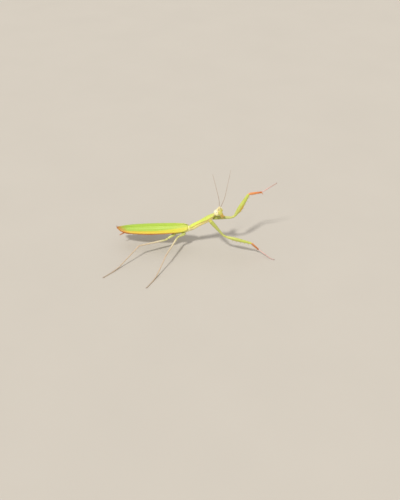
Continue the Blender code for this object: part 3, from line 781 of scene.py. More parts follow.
def body_paint():
    """Thorax and abdomen: green plates, with pale soft skin along the sides and between them."""
    paint = Paint("body_skin", coat=0.08, coat_roughness=0.3, subsurface=0.15)
    body = tint("body")
    plates = paint.ramp(
        "along", (0.0, (0.86, 0.74, 0.38)), (0.22, (0.94, 0.80, 0.28)),
        (0.29, (0.92, 0.86, 0.36)), (0.365, (0.90, 0.88, 0.36)), (0.42, (0.62, 0.68, 0.18)), (0.55, body),
        (0.85, shade(body, 0.95)), (1.0, tint("tail")))
    soft = paint.mix(paint.range("joint", 0.25, 0.85), plates, tint("membrane"), 0.7)
    return cuticle_surface(paint, paint.mix(
        paint.range("height", -0.5, -0.95), soft, (0.60, 0.58, 0.26), 0.45))


def feeler_paint():
    """Feelers: reddish brown, in darker and lighter patches."""
    paint = Paint("feeler", roughness=0.5)
    base = tint("feeler")
    patches = paint.mix(paint.cloud(2.5, 3.0, 0.35, 0.65), shade(base, 0.75), shade(base, 1.25))
    return paint.finish(patches, paint.noise(12.0), 0.01)


def floor_paint():
    """Plain pale floor."""
    paint = Paint("floor", roughness=0.85, specular=0.2)
    base = tint("floor")
    return paint.finish(
        paint.mix(paint.noise(0.02, 4.0), shade(base, 0.97), shade(base, 1.03)), paint.noise(1.5), 0.01)


# ---------------------------------------------------------------- trunk

BODY_TOP = -0.15
SKIN_SIDES = 48


def trunk_section(x, half_width, height, top=BODY_TOP):
    """(x, z, half width, rise, sag) of thorax or abdomen, whose top lies at a height over the axis."""
    return (x, top - 0.45 * height, half_width, 0.45 * height, 0.55 * height)


THORAX_SECTIONS = [trunk_section(*row) for row in (
    (-THORAX_LENGTH, 1.85, 3.45), (-9.8, 2.05, 3.8), (-7.6, 2.1, 3.95), (-5.5, 1.92, 4.2, 0.42),
    (-3.6, 1.78, 4.45, 0.85), (-2.0, 1.52, 4.05, 0.98), (-0.9, 1.3, 3.35, 0.82), (-0.3, 1.15, 2.85, 0.6))]
# Seams of the thorax as (x, width, strength).
THORAX_SEAMS = ((-5.5, 0.16, 1.0), (-2.9, 0.1, 0.4), (-8.2, 0.1, 0.4))
ABDOMEN_HALF_WIDTH = ((0.0, 1.8), (0.2, 2.2), (0.5, 2.45), (0.75, 2.2), (0.9, 1.65), (1.0, 1.15))
ABDOMEN_HEIGHT = ((0.0, 3.3), (0.3, 3.6), (0.6, 3.5), (0.85, 2.7), (1.0, 1.9))
ABDOMEN_TOP = ((0.0, -0.2), (0.6, -0.25), (0.85, -0.7), (1.0, -1.35))
PLATE_SWELL = ((0.0, 0.93), (0.05, 0.965), (0.16, 0.99), (0.4, 1.0), (0.7, 1.012), (0.92, 1.02),
               (0.97, 0.99))
PROTHORAX_SECTIONS = (
    (1.8, -0.62, 1.15, 0.5, 1.6), (5.0, -0.6, 1.1, 0.4, 1.5), (8.5, -0.6, 1.2, 0.4, 1.6),
    (11.0, -0.6, 1.5, 0.4, 1.8), (12.6, -0.6, 1.6, 0.4, 1.75), (14.0, -0.55, 1.25, 0.4, 1.3),
    (15.2, -0.35, 0.9, 0.45, 0.8), (16.6, 0.0, 0.66, 0.5, 0.5))


def pleura(_, turn):
    """Soft groove where the plates of the back meet those of the belly."""
    side, up = abs(math.cos(turn)), math.sin(turn)
    return 1.0 - 0.045 * bell(up, 0.08, 0.10) * side - 0.03 * bell(up, -0.55, 0.08) * side


def abdomen_rings():
    """Rings of the abdomen, in which each plate overlaps the next one's front edge."""
    made = []
    for segment in range(ABDOMEN_SEGMENTS):
        for share, swell in PLATE_SWELL:
            whole = (segment + share) / ABDOMEN_SEGMENTS
            section = trunk_section(
                -THORAX_LENGTH - whole * ABDOMEN_LENGTH, smooth_value(ABDOMEN_HALF_WIDTH, whole) * swell,
                smooth_value(ABDOMEN_HEIGHT, whole) * swell, smooth_value(ABDOMEN_TOP, whole))
            made.append((oval(TRUNK, *section, SKIN_SIDES, pleura), bell(swell, 0.93, 0.02)))
    for angle in (25, 50, 75):
        bulge, left = 0.9 * math.sin(math.radians(angle)), math.cos(math.radians(angle))
        made.append((oval(TRUNK, TAIL_X - bulge, -2.2 + 0.05 * left, 1.1 * left, 0.82 * left, 1.0 * left,
                          SKIN_SIDES), 0.0))
    return made


def thorax_rings():
    """Rings of the middle and hind thorax, with a seam between them."""
    made = []
    for x in steps(-0.3, 0.1 - THORAX_LENGTH, 36):
        seam = max(bell(x, middle, width) * strength for middle, width, strength in THORAX_SEAMS)
        z, *form = smooth_row(THORAX_SECTIONS, x)
        form = [part * (1.0 - 0.06 * seam) for part in form]
        made.append((oval(TRUNK, x, z, *form, SKIN_SIDES, pleura), seam))
    return made


def prothorax_rings():
    """Rings of the neck and of the soft underside of the shield, down to the waist."""
    made = []
    nape = HEAD @ Vector((-0.1, 0.0, -0.75))
    throat = SHIELD @ Vector((PRONOTUM_LENGTH + 0.2, 0.0, 0.0))
    place = frame_on(throat, (nape - throat).normalized(), SHIELD.to_3x3() @ Vector((0, 1, 0)))
    for x in steps((nape - throat).length, 0.35, 7):
        fold = 1.0 - 0.05 * math.cos(x * 9.0)
        made.append((oval(place, x, 0.0, 0.72 * fold, 0.58 * fold, 0.58 * fold, SKIN_SIDES), 0.6))
    for x in steps(16.4, 1.8, 34):
        section = smooth_row(PROTHORAX_SECTIONS, x)
        made.append((oval(SHIELD, x, *section, SKIN_SIDES, pleura), 0.25 + 0.5 * bell(x, 12.4, 0.3)))
    for share in (0.3, 0.62):
        lean = SHIELD.to_quaternion().slerp(TRUNK.to_quaternion(), share).to_matrix().to_4x4()
        place = Matrix.Translation(WAIST) @ lean
        made.append((oval(place, 1.2 * (0.5 - share), -0.55, 1.15, 1.1, 1.6, SKIN_SIDES), 0.9))
    return made


def make_body_skin():
    """One skin from the neck to the tail."""
    rings = prothorax_rings() + thorax_rings() + abdomen_rings()
    middles = [sum(points, Vector()) / len(points) for points, _ in rings]
    gone = [0.0]
    for before, after in zip(middles, middles[1:]):
        gone.append(gone[-1] + (after - before).length)
    lofted = [(points, travelled / gone[-1], joint) for (points, joint), travelled in zip(rings, gone)]
    make_piece("body_skin", [lofted], body_paint(), "abdomen", "neck", "prosternum", "mesothorax",
               "metathorax", *[f"abdomen_{index + 1}" for index in range(ABDOMEN_SEGMENTS)])


PRONOTUM_HALF_WIDTH = ((0.0, 1.2), (0.09, 1.5), (0.28, 1.3), (0.45, 1.4), (0.6, 1.8), (0.7, 2.15),
                       (0.82, 1.95), (0.94, 1.6), (1.0, 1.1))
PRONOTUM_RISE = ((0.0, 0.75), (0.1, 1.0), (0.4, 0.85), (0.7, 0.95), (0.9, 0.8), (1.0, 0.5))
SHIELD_SIDES = 64
REAR_LIP, REAR_CAP, FRONT_CAP = 0.012, 0.02, 0.015


def shield_edge(share):
    """Half width of the shield at its thin side edge."""
    return smooth_value(PRONOTUM_HALF_WIDTH, share) * 1.03


def shield_height(share, across, up, rise):
    """Height of the shield's arch with its keel, groove, brim and furrow, or of its flat underside."""
    if up <= 0:
        return -0.34 * abs(up) ** 0.7
    keel = 0.13 * bell(across, 0.0, 0.10) * (1.0 - ease(0.60, 0.66, share))
    groove = 0.10 * bell(across, 0.0, 0.08) * ease(0.67, 0.70, share) * (1.0 - ease(0.93, 0.97, share))
    brim = 0.06 * bell(abs(across), 0.93, 0.05)
    return rise * up ** 1.15 + keel - groove + brim - 0.13 * shield_furrow(share) * up


def shield_furrow(share):
    """How near to the cross furrow a share of the shield's length lies."""
    return bell(share, 0.665, 0.010)


def make_shield():
    """Shield behind the head: arched, with a keel, a cross furrow and thin toothed edges."""
    caps = cap_steps(16, 40, 64)
    rings = []
    for share in ([-REAR_LIP + REAR_CAP * cap for cap in caps] + steps(0.012, 0.985, 78)
                  + [1.0 - FRONT_CAP * cap for cap in reversed(caps)]):
        width = 0.35 + 0.65 * cap_width(min((share + REAR_LIP) / REAR_CAP, (1.0 - share) / FRONT_CAP, 1.0))
        rise = smooth_value(PRONOTUM_RISE, share) * width
        points = [SHIELD @ Vector((share * PRONOTUM_LENGTH, across * shield_edge(share) * width,
                                   shield_height(share, across, up, rise) * width))
                  for _, across, up in around(SHIELD_SIDES)]
        rings.append((points, share, shield_furrow(share)))
    make_piece("shield", [rings], shield_paint(), "green_cuticle", "pronotum")

    paint = spine_paint("shield_tooth", shade(tint("yellow_edge"), 0.95), (0.62, 0.34, 0.08))
    rows = []
    for _, side in LEFT_RIGHT:
        points = [SHIELD @ Vector((share * PRONOTUM_LENGTH, side * shield_edge(share) * 0.99, 0.02))
                  for share in steps(0.05, 0.96, 60)]
        rows.append(thorn_row(paint, points, SHIELD.to_3x3() @ Vector((0.35, side, 0.1)), 44,
                              size("edge_tooth"), 0.05, short_share=0.6))
    settle(add_piece("shield_teeth", merged(rows), paint), "green_cuticle")


# ---------------------------------------------------------------- wings

WING_HALF_WIDTH = ((0.0, 1.8), (0.03, 2.35), (0.08, 2.95), (0.16, 3.5), (0.32, 3.85), (0.6, 3.85),
                   (0.8, 3.3), (0.93, 2.2), (1.0, 0.9))
WING_RIDGE = ((0.0, 1.2), (0.03, 1.75), (0.07, 2.15), (0.3, 2.45), (0.6, 2.4), (0.8, 2.05), (0.93, 1.5),
              (1.0, 1.0))
WING_EDGE_DROP = ((0.0, 0.1), (0.06, 1.0), (0.3, 1.7), (0.6, 1.65), (0.85, 1.0), (1.0, 0.1))
ROOF_POWER = 2.4
WING_LAYER = 0.19
HINDWING_LAYER = 0.9
WING_GRID = (120, 36)
TEGMEN_OVERLAP = ((0.0, -0.35), (0.03, -0.05), (0.08, 0.2), (0.16, 0.26), (1.0, 0.26))
HINDWING_OVERLAP = ((0.0, -0.04), (1.0, -0.04))

# Main veins of a forewing, as out from the middle line at the base, at a third, at two thirds and
# at the tip, with the thickness of each against the radius of the settings.
TEGMEN_VEINS = (((0.93, 0.985, 0.99, 0.8), 1.25), ((0.80, 0.90, 0.93, 0.75), 0.7),
                ((0.62, 0.74, 0.80, 0.62), 1.3), ((0.55, 0.62, 0.68, 0.50), 0.7),
                ((0.48, 0.50, 0.55, 0.38), 0.75), ((0.42, 0.38, 0.42, 0.26), 0.7),
                ((0.36, 0.25, 0.28, 0.14), 0.8), ((0.28, 0.10, 0.12, 0.0), 0.6),
                ((0.20, -0.05, -0.06, -0.12), 0.6))
CROSS_VEIN = 0.42


def roof_point(out, share, depth):
    """Point of the folded wings, so many half widths out and a depth under their outside."""
    half, ridge = smooth_value(WING_HALF_WIDTH, share), smooth_value(WING_RIDGE, share)
    fall = ridge + smooth_value(WING_EDGE_DROP, share)
    slope = fall * ROOF_POWER / half * abs(out) ** (ROOF_POWER - 1)
    outside = Vector((-WING_BASE - share * TEGMEN_LENGTH, half * out, ridge - fall * abs(out) ** ROOF_POWER))
    return outside - Vector((0.0, math.copysign(slope, out), 1.0)).normalized() * depth


def layer_depth(layers, out, reach):
    """Depth of a wing under the outside, between its inner and outer edges."""
    return lerp(*layers, min(max((out - 0.4) / (reach - 0.4), 0.0), 1.0))


def drawn_in(out, inner, reach, share):
    """How far out a point lies once the wing's rounded tip has drawn it in."""
    middle = 0.42 * (inner + reach)
    past = max(0.0, (share - 0.9) / (1.0 - 0.9))
    return middle + (out - middle) * max(math.sqrt(max(0.0, 1.0 - past ** 2.4)), 0.02)


def wing_layers(bm, *names):
    """Values that a wing stores at its points."""
    return [bm.verts.layers.float.new(name) for name in names]


def on_trunk(bm):
    """The mesh of what was built in the trunk's frame in millimetres."""
    bmesh.ops.transform(bm, matrix=Matrix.Scale(MM, 4) @ TRUNK, verts=bm.verts)
    return mesh_of(bm)


def wing_sheet(name, side, shares, layers, overlap, reach, thickness, paint, pleats=0.0):
    """A wing bent over the roof, thickened inwards, with along and across stored at its points."""
    bm = bmesh.new()
    bmesh.ops.create_grid(bm, x_segments=WING_GRID[0], y_segments=WING_GRID[1], size=0.5)
    along, across = wing_layers(bm, "along", "across")
    for vert in bm.verts:
        portion, spread = vert.co.x + 0.5, vert.co.y + 0.5
        share = lerp(*shares, math.sin(portion * math.pi / 2) ** 0.92)
        inner = -smooth_value(overlap, share)
        progress = (share - shares[0]) / (shares[1] - shares[0])
        out = drawn_in(lerp(inner, reach, spread), inner, reach, progress)
        depth = layer_depth(layers, out, reach)
        if pleats:
            depth += pleats * (0.5 + 0.5 * math.cos(spread * 60.0))
        else:
            depth += 0.03 * math.sin(out * 46.0) * math.sin(share * 3.0) ** 2
        vert.co = roof_point(side * out, share, max(depth, 0.0))
        vert[along], vert[across] = share, out
    bm.normal_update()
    if bm.faces[:][len(bm.faces) // 2].normal.z < 0:
        bmesh.ops.reverse_faces(bm, faces=bm.faces)
    mesh = on_trunk(bm)
    mesh.shade_smooth()
    piece = add_piece(name, mesh, paint)
    shell = piece.modifiers.new("thickness", "SOLIDIFY")
    shell.thickness, shell.offset = thickness * MM, -1.0
    return piece


def vein_out(outs, share):
    """How far out a main vein lies at a share of the wing's length."""
    return smooth_value(tuple(zip((0.0, 0.33, 0.67, 1.0), outs)), share)


def vein_net(side, layers):
    """Net of a forewing's veins: the main ones, and cross veins between each two."""
    bm = bmesh.new()
    thick, along, across = wing_layers(bm, "thick", "along", "across")

    def line(places, thickness):
        made = []
        for share, out in places:
            inner = -smooth_value(TEGMEN_OVERLAP, share)
            kept = drawn_in(max(out, inner + 0.02), inner, 1.0, share)
            depth = layer_depth(layers, kept, 1.0) + 0.6 * thickness * size("vein_radius")
            vert = bm.verts.new(roof_point(side * kept, share, depth))
            vert[thick], vert[along], vert[across] = thickness, share, kept
            made.append(vert)
        for pair in zip(made, made[1:]):
            bm.edges.new(pair)

    for outs, thickness in TEGMEN_VEINS:
        line([(share, vein_out(outs, share)) for share in steps(0.012, 0.985, 64)], thickness)
    for index, ((outer, _), (inner, _)) in enumerate(zip(TEGMEN_VEINS, TEGMEN_VEINS[1:])):
        count = 54 if index < 2 else 40
        for number in range(count):
            share = 0.04 + 0.92 * (number + 0.5 + 0.25 * math.sin(number * 2.4 + index)) / count
            slant = 0.010 if index < 2 else 0.004 * math.sin(number * 1.7 + index)
            line([(share + slant * part, lerp(vein_out(outer, share), vein_out(inner, share), part))
                  for part in (0.0, 0.5, 1.0)], CROSS_VEIN)
    return on_trunk(bm)


def make_wings():
    """Two forewings with their veins, the left over the right, and the hind wings under them."""
    paint, veins, tree = tegmen_paint(), vein_paint(), vein_tree()
    for (label, side), layers, end in zip(LEFT_RIGHT, ((0.0, 0.0), (WING_LAYER, 0.0)), (1.0, 0.99)):
        piece = wing_sheet(f"tegmen_skin_{label}", side, (0.0, end), layers, TEGMEN_OVERLAP, 1.0,
                           size("tegmen_thickness"), paint)
        settle(piece, "tegmen", f"tegmen_{label}")
        net = grow(tree, vein_net(side, layers), radius=size("vein_radius") * MM, sides=6, material=veins)
        settle(add_piece(f"tegmen_veins_{label}", net, veins), "tegmen")
    under = hindwing_paint()
    for label, side in LEFT_RIGHT:
        piece = wing_sheet(f"hindwing_skin_{label}", side, (0.10, 0.955), (HINDWING_LAYER, HINDWING_LAYER),
                           HINDWING_OVERLAP, 0.8, size("hindwing_thickness"), under, pleats=0.10)
        settle(piece, "hindwing", f"hindwing_{label}")


# ---------------------------------------------------------------- head

HEAD_SECTIONS = (
    (-1.5, -0.2, 1.2, 0.4, 0.45), (-1.25, -0.18, 1.6, 0.55, 0.6), (-0.9, -0.1, 2.08, 0.82, 0.87),
    (-0.2, 0.0, 2.3, 1.07, 1.12), (0.7, 0.05, 2.1, 1.16, 1.1), (1.6, 0.1, 1.58, 1.1, 0.95),
    (2.4, 0.15, 1.15, 0.92, 0.76), (3.05, 0.2, 0.88, 0.68, 0.5))
HEAD_BACK, HEAD_FRONT = HEAD_SECTIONS[0][0], HEAD_SECTIONS[-1][0]
HEAD_SIDES = 96
BACK_CAP = 0.35
SOCKET = (-0.35, 0.6)
OCELLI = ((-0.62, 0.0), (-0.98, 0.34), (-0.98, -0.34))
EYE_CENTRE = Vector((0.05, 2.12, 0.1))
EYE_RADII = Vector((1.66, 1.02, 1.26))
EYE_TURN = 14.0
EYE_TAPER = 0.22
EYE_SIDES = 64
# Rings of an eye's socket, as (depth from the eye's centre, half length, half height).
SOCKET_RINGS = ((0.44, 1.25, 0.92), (0.47, 1.46, 1.10), (0.52, 1.51, 1.14), (0.60, 1.50, 1.12),
                (0.74, 1.44, 1.05), (1.00, 1.30, 0.93), (1.35, 1.02, 0.74), (1.70, 0.66, 0.48))


def face_relief(x, y):
    """(lift, seam) of the face at a place: sockets, brow, frontal plate, cheek and mouth shield."""
    across = abs(y)
    socket = math.hypot(x - SOCKET[0], across - SOCKET[1])
    plate = max(abs(x - 0.52) / 0.36, across / (0.86 - 0.35 * (x - 0.3)))
    mouth_shield = max(abs(x - 1.66) / 0.62, across / (0.95 - 0.16 * x))
    crown = ease(-0.55, -0.8, x)
    lift = (0.10 * bell(socket, 0.36, 0.09) - 0.06 * bell(socket, 0.0, 0.25)
            + 0.12 * bell(x, -0.85, 0.30) * bell(across, 0.0, 0.42) + 0.07 * ease(1.06, 0.94, plate)
            + 0.05 * ease(1.06, 0.94, mouth_shield) - 0.07 * bell(across, 0.86, 0.05) * crown)
    seam = max(bell(plate, 1.0, 0.07), bell(mouth_shield, 1.0, 0.07), bell(socket, 0.46, 0.06),
               bell(across, 0.86, 0.06) * crown)
    return lift, seam * ease(1.6, 1.3, across)


def head_rings():
    """Rings of the head capsule from the back to the mouth, raised by the relief of the face."""
    rings = []
    for x in ([HEAD_BACK + BACK_CAP * cap for cap in cap_steps(12, 30, 48, 66)]
              + steps(HEAD_BACK + BACK_CAP, HEAD_FRONT, 84)):
        z, half_width, rise, sag = smooth_row(HEAD_SECTIONS, x)
        width = cap_width(min((x - HEAD_BACK) / BACK_CAP, 1.0))
        points = []
        for _, across, up in around(HEAD_SIDES):
            y, height = across * half_width * width, z + up * width * (rise if up > 0 else sag)
            if up > 0:
                height += face_relief(x, y)[0] * up ** 0.5
            points.append(HEAD @ Vector((x, y, height)))
        rings.append((points, 0.0, 0.0))
    return rings


def eye_place(side):
    """Frame of a compound eye in the head."""
    centre = Vector((EYE_CENTRE.x, side * EYE_CENTRE.y, EYE_CENTRE.z))
    return HEAD @ Matrix.Translation(centre) @ turned(side * EYE_TURN, "Z")


def socket_rings(side):
    """Rings of the socket that holds a compound eye."""
    return [([eye_place(side) @ Vector((
        half * across, -side * depth, tall * (1.0 - EYE_TAPER * across * half / EYE_RADII.x) * up))
        for _, across, up in around(HEAD_SIDES)], 0.0, 0.0) for depth, half, tall in SOCKET_RINGS]


def make_head_capsule():
    """Three-cornered head with its plates, seams and feeler sockets, and the sockets of its eyes."""
    skin, to_head = Skin([head_rings()]), HEAD.inverted()
    for vert in skin.bm.verts:
        local = to_head @ vert.co
        if local.z > 0:
            vert[skin.joint] = face_relief(local.x, local.y)[1]
    for _, side in LEFT_RIGHT:
        skin.loft(socket_rings(side))
    for vert in skin.bm.verts:
        vert[skin.along] = ((to_head @ vert.co).x - HEAD_BACK) / (HEAD_FRONT - HEAD_BACK)
    settle(skin.finish("head_capsule", head_paint()), "green_cuticle", "head")


def make_eyes():
    """Compound eyes, wider at the top; height stores how near a point is to the dark dot. And the ocelli."""
    paint = eye_paint()
    for label, side in LEFT_RIGHT:
        place = eye_place(side)
        rings = []
        for angle in steps(-84, 84, 43):
            x, width = math.sin(math.radians(angle)), math.cos(math.radians(angle))
            width *= 1.0 - EYE_TAPER * x
            points = [place @ Vector((
                x * EYE_RADII.x, width * across * EYE_RADII.y, width * up * EYE_RADII.z))
                for _, across, up in around(EYE_SIDES)]
            rings.append((points, (x + 1.0) / 2.0, 0.0))
        skin, to_eye = Skin([rings]), place.inverted()
        dot_way = Vector((0.05, side * 0.62, 0.78)).normalized()
        for vert in skin.bm.verts:
            local = to_eye @ vert.co
            unit = Vector([part / radius for part, radius in zip(local, EYE_RADII)]).normalized()
            vert[skin.height] = max(0.0, unit.dot(dot_way))
            vert[skin.joint] = ease(0.0, -0.5, side * unit.y)
        settle(skin.finish(f"eye_skin_{label}", paint), "eye", f"eye_{label}")
    shells = []
    for x, y in OCELLI:
        z, _, rise, _ = smooth_row(HEAD_SECTIONS, x)
        top = z + rise * math.sqrt(1.0 - (y / 2.0) ** 2) + 0.10
        shells.append(ball_rings(HEAD @ Vector((x, y, top)), HEAD.to_3x3() @ UP, 0.15, 0.5))
    make_piece("ocelli", shells, bead_paint(), "eye")


def on_head(*corners):
    """Points of the head's frame."""
    return [HEAD @ Vector(corner) for corner in corners]


def make_mouthparts():
    """Upper lip, two jaws, lower lip, and a long and a short pair of jointed palps."""
    paint = limb_paint("mouth", ((0.0, (0.58, 0.50, 0.10)), (0.4, tint("mouth")), (1.0, (0.52, 0.24, 0.06))))
    lip = ((0.0, 0.60, 0.20, 0.24), (0.4, 0.60, 0.19, 0.2), (0.8, 0.44, 0.16, 0.18), (1.0, 0.26, 0.13, 0.15))
    make_piece("upper_lip", [limb_rings(
        HEAD @ Matrix.Translation((2.85, 0.0, 0.55)) @ turned(10, "Y"), 0.0, 1.35, lip, 28, 16,
        lambda _, turn: 1.0 - 0.06 * bell(math.cos(turn), 0.0, 0.1), (0.0, 0.4))],
        paint, "mouthparts", "labrum")
    jaw = ((0.0, 0.36, 0.42, 0.46), (0.45, 0.34, 0.34, 0.40), (0.85, 0.2, 0.22, 0.26),
           (1.0, 0.12, 0.14, 0.16))
    shells = [limb_rings(HEAD @ Matrix.Translation((2.75, side * 0.55, -0.08)) @ turned(-side * 22, "Z"),
                         0.0, 1.5, jaw, 24, 14, along=(0.3, 1.0)) for _, side in LEFT_RIGHT]
    lower = ((0.0, 0.5, 0.2, 0.26), (0.6, 0.46, 0.18, 0.22), (1.0, 0.28, 0.12, 0.14))
    shells.append(limb_rings(HEAD @ Matrix.Translation((2.75, 0.0, -0.38)), 0.0, 1.2, lower, 24, 12,
                             along=(0.2, 0.7)))
    make_piece("jaws", shells, paint, "mouthparts", "mandibles")
    for label, side in LEFT_RIGHT:
        long_way = on_head((2.75, side * 0.85, -0.1), (3.6, side * 1.12, -0.1), (4.2, side * 1.1, 0.05),
                           (4.72, side * 0.85, 0.32))
        short_way = on_head((2.8, side * 0.4, -0.5), (3.5, side * 0.6, -0.62), (4.1, side * 0.42, -0.5))
        shells = (bead_chain(long_way, ((0.0, 0.2), (0.5, 0.18), (1.0, 0.13)), 5)
                  + bead_chain(short_way, ((0.0, 0.15), (0.5, 0.15), (1.0, 0.10)), 3))
        make_piece(f"palps_{label}", shells, paint, "mouthparts", f"palp_{label}")


FEELER_AIMS = {"left": (52.0, 72.0), "right": (150.0, 74.0)}
FEELER_STEPS = 48


def make_antennae():
    """Feelers: two thick base joints and many fine rings, parting in a V."""
    tree, paint = ringed_feeler_tree(), feeler_paint()
    base_paint = limb_paint("feeler_base", ((0.0, shade(tint("crown"), 0.9)), (1.0, (0.66, 0.56, 0.24))))
    for label, side in LEFT_RIGHT:
        outward = (HEAD.to_3x3() @ Vector((-0.25, side * 0.25, 1.0))).normalized()
        tip_way = heading(*FEELER_AIMS[label])
        points = on_head((SOCKET[0], side * SOCKET[1], 1.02))
        for step in range(FEELER_STEPS):
            share = min(1.0, (step + 0.5) / (FEELER_STEPS * 0.45))
            way = outward.lerp(tip_way, share).normalized()
            points.append(points[-1] + way * size("antenna_length") / FEELER_STEPS)
        rings = grow(tree, curve_data(points, steps(0.11, 0.045, len(points))),
                     count=bpy.context.scene.mantis_sizes.antenna_rings, flare=0.90, material=paint)
        make_piece(f"feeler_base_{label}", bead_chain(
            points[:4], ((0.0, 0.30), (0.5, 0.27), (1.0, 0.21)), 2), base_paint, "antenna")
        rings.set_sharp_from_angle(angle=math.radians(50))
        settle(add_piece(f"feeler_{label}", rings, paint), "antenna", f"antenna_{label}")


# ---------------------------------------------------------------- feet, claws and spines

ANKLE_HEIGHT = 0.85
FOOT_AXIS = 0.20
FOOT_JOINTS = (0.0, 0.44, 0.62, 0.76, 0.87, 1.0)
CLAW_RADIUS = 0.085


def foot_path(ankle, azimuth, reach, landing):
    """Where a foot's middle lies at a share of its length, down from the ankle and along the floor."""
    way = heading(azimuth, 0.0)

    def point_at(share):
        flat = ankle + way * reach * share
        fall = max(0.0, 1.0 - share / landing)
        return Vector((flat.x, flat.y, lerp(FOOT_AXIS, ankle.z, fall)))
    return point_at


def foot_shells(point_at, side_way, along=(0.0, 1.0)):
    """Five foot joints along a line: each slim at its root, broad and padded at its end."""
    shells = []
    for index, (near, far) in enumerate(zip(FOOT_JOINTS, FOOT_JOINTS[1:])):
        start, end = point_at(near), point_at(far)
        half = 0.33 * (1.0 - 0.06 * index)
        root, rings = (0.24, 10) if index else (0.28, 18)
        profile = ((0.0, root, root, root), (0.5, 0.8 * half, 0.8 * half, 0.85 * half),
                   (0.86, half, 0.92 * half, half), (1.0, 0.86 * half, 0.8 * half, 0.9 * half))
        shells.append(limb_rings(
            frame_on(start, (end - start).normalized(), side_way), -0.12, (end - start).length + 0.08,
            profile, 16, rings, along=(lerp(*along, near), lerp(*along, far))))
    return shells


def claw_shells(tip, forward, side_way):
    """Two curved claws at the end of a foot, lifted clear of the floor."""
    reach, shares, shells = size("claw_length"), steps(0.0, 1.0, 9), []
    for side in (1, -1):
        points = [tip - forward * 0.12 + forward * reach * share + side_way * side * (0.10 + 0.26 * share)
                  + UP * (math.sin(share * 2.2) * 0.22 - 0.26 * share ** 2) for share in shares]
        rings = []
        for index, (co, share) in enumerate(zip(points, shares)):
            radius = CLAW_RADIUS * (1.0 - share) ** 0.7 + 0.008
            ahead = points[min(index + 1, len(points) - 1)] - points[max(index - 1, 0)]
            place = frame_on(co, ahead.normalized(), side_way)
            place.translation.z = max(co.z, radius)
            rings.append((oval(place, 0.0, 0.0, radius, radius, radius, 10), share, 0.0))
        shells.append(rings)
    return shells


def hook_rings(place, reach):
    """Rings of the curved hook at the end of the grasping tibia."""
    rings = []
    for share in steps(0.0, 1.0, 15):
        angle = share * 1.05
        at = Vector((reach - 0.55 + 1.35 * math.sin(angle) * 1.02, 0.0,
                     -0.22 - 2.05 * (1.0 - math.cos(angle)) - 0.35 * share))
        radius = 0.34 * (1.0 - share) ** 0.75 + 0.012
        leant = place @ Matrix.Translation(at) @ Matrix.Rotation(angle * 0.9 + 0.2, 4, "Y")
        rings.append((oval(leant, 0.0, 0.0, 0.8 * radius, radius, radius, 16), share, 0.0))
    return rings


def spine_rows(place, paint, *rows):
    """Thorns under a limb: (start, end, across, depth at both, count, length, lean, short share)."""
    meshes = []
    for start, end, across, depths, count, tall, lean, short_share in rows:
        points = [place @ Vector((lerp(start, end, share), across, -lerp(*depths, share)))
                  for share in steps(0.0, 1.0, 24)]
        direction = place.to_3x3() @ Vector((lean, math.copysign(0.35, across), -1.0)).normalized()
        meshes.append(thorn_row(paint, points, direction, count, tall, 0.15 * tall, short_share, 0.16))
    return meshes


# ---------------------------------------------------------------- grasping legs

def coxa_shape(_, turn):
    """Three-sided section of the coxa, with a keel above and below."""
    return 1.0 + 0.05 * math.cos(3 * (turn - math.pi / 2)) + 0.04 * bell(abs(math.sin(turn)), 1.0, 0.05)


def femur_shape(x, turn):
    """Flattened section of the femur: a keel above and a groove below, where the tibia folds in."""
    up = math.sin(turn)
    groove = (0.14 * bell(math.cos(turn), 0.0, 0.20) * ease(-0.5, -0.9, up)
              * ease(2.0, 3.5, x) * ease(13.5, 12.0, x))
    return 1.0 + 0.05 * bell(up, 1.0, 0.04) - groove + 0.03 * math.cos(6 * turn) * abs(math.cos(turn))


def slim_shape(_, turn):
    """Faint ridges along a slim limb."""
    return 1.0 + 0.035 * math.cos(6 * turn)


FORE_JOINT = (12.9, 1.5, -1.45)
# Aims of a foreleg's coxa, trochanter, femur, tibia and foot.
FORE_STANCES = {"left": ((-5, 3), (9, 25), (26, 55), (14, 1), (-4, 38)),
                "right": ((-14, -49), (-14, -28), (-12, -9), (24, -50), (-28, 0))}
FORE_LANDING = 0.78
# Each part of a foreleg: how far it reaches past its two joints, profile, sides, rings, shape and
# share of the colours.
FORE_PARTS = {
    "coxa": (0.25, 0.15, (
        (0.0, 0.8, 0.85, 0.85), (0.12, 1.0, 1.1, 1.1), (0.45, 0.85, 1.0, 1.0), (0.85, 0.6, 0.7, 0.7),
        (1.0, 0.58, 0.66, 0.64)), 32, 40, coxa_shape, (0.0, 0.38)),
    "trochanter": (0.35, 0.30, (
        (0.0, 0.5, 0.54, 0.54), (0.5, 0.6, 0.66, 0.66), (1.0, 0.52, 0.58, 0.58)),
        24, 12, None, (0.38, 0.46)),
    "femur": (0.30, 0.12, (
        (0.0, 0.52, 0.58, 0.58), (0.14, 0.7, 0.8, 1.05), (0.36, 0.87, 1.15, 1.6), (0.6, 0.8, 1.05, 1.3),
        (0.85, 0.64, 0.86, 0.88), (1.0, 0.55, 0.70, 0.68)), 40, 60, femur_shape, (0.46, 1.0)),
    "tibia": (0.40, 0.05, (
        (0.0, 0.40, 0.48, 0.48), (0.18, 0.50, 0.64, 0.68), (0.6, 0.43, 0.53, 0.58),
        (1.0, 0.32, 0.38, 0.38)), 28, 34, slim_shape),
}


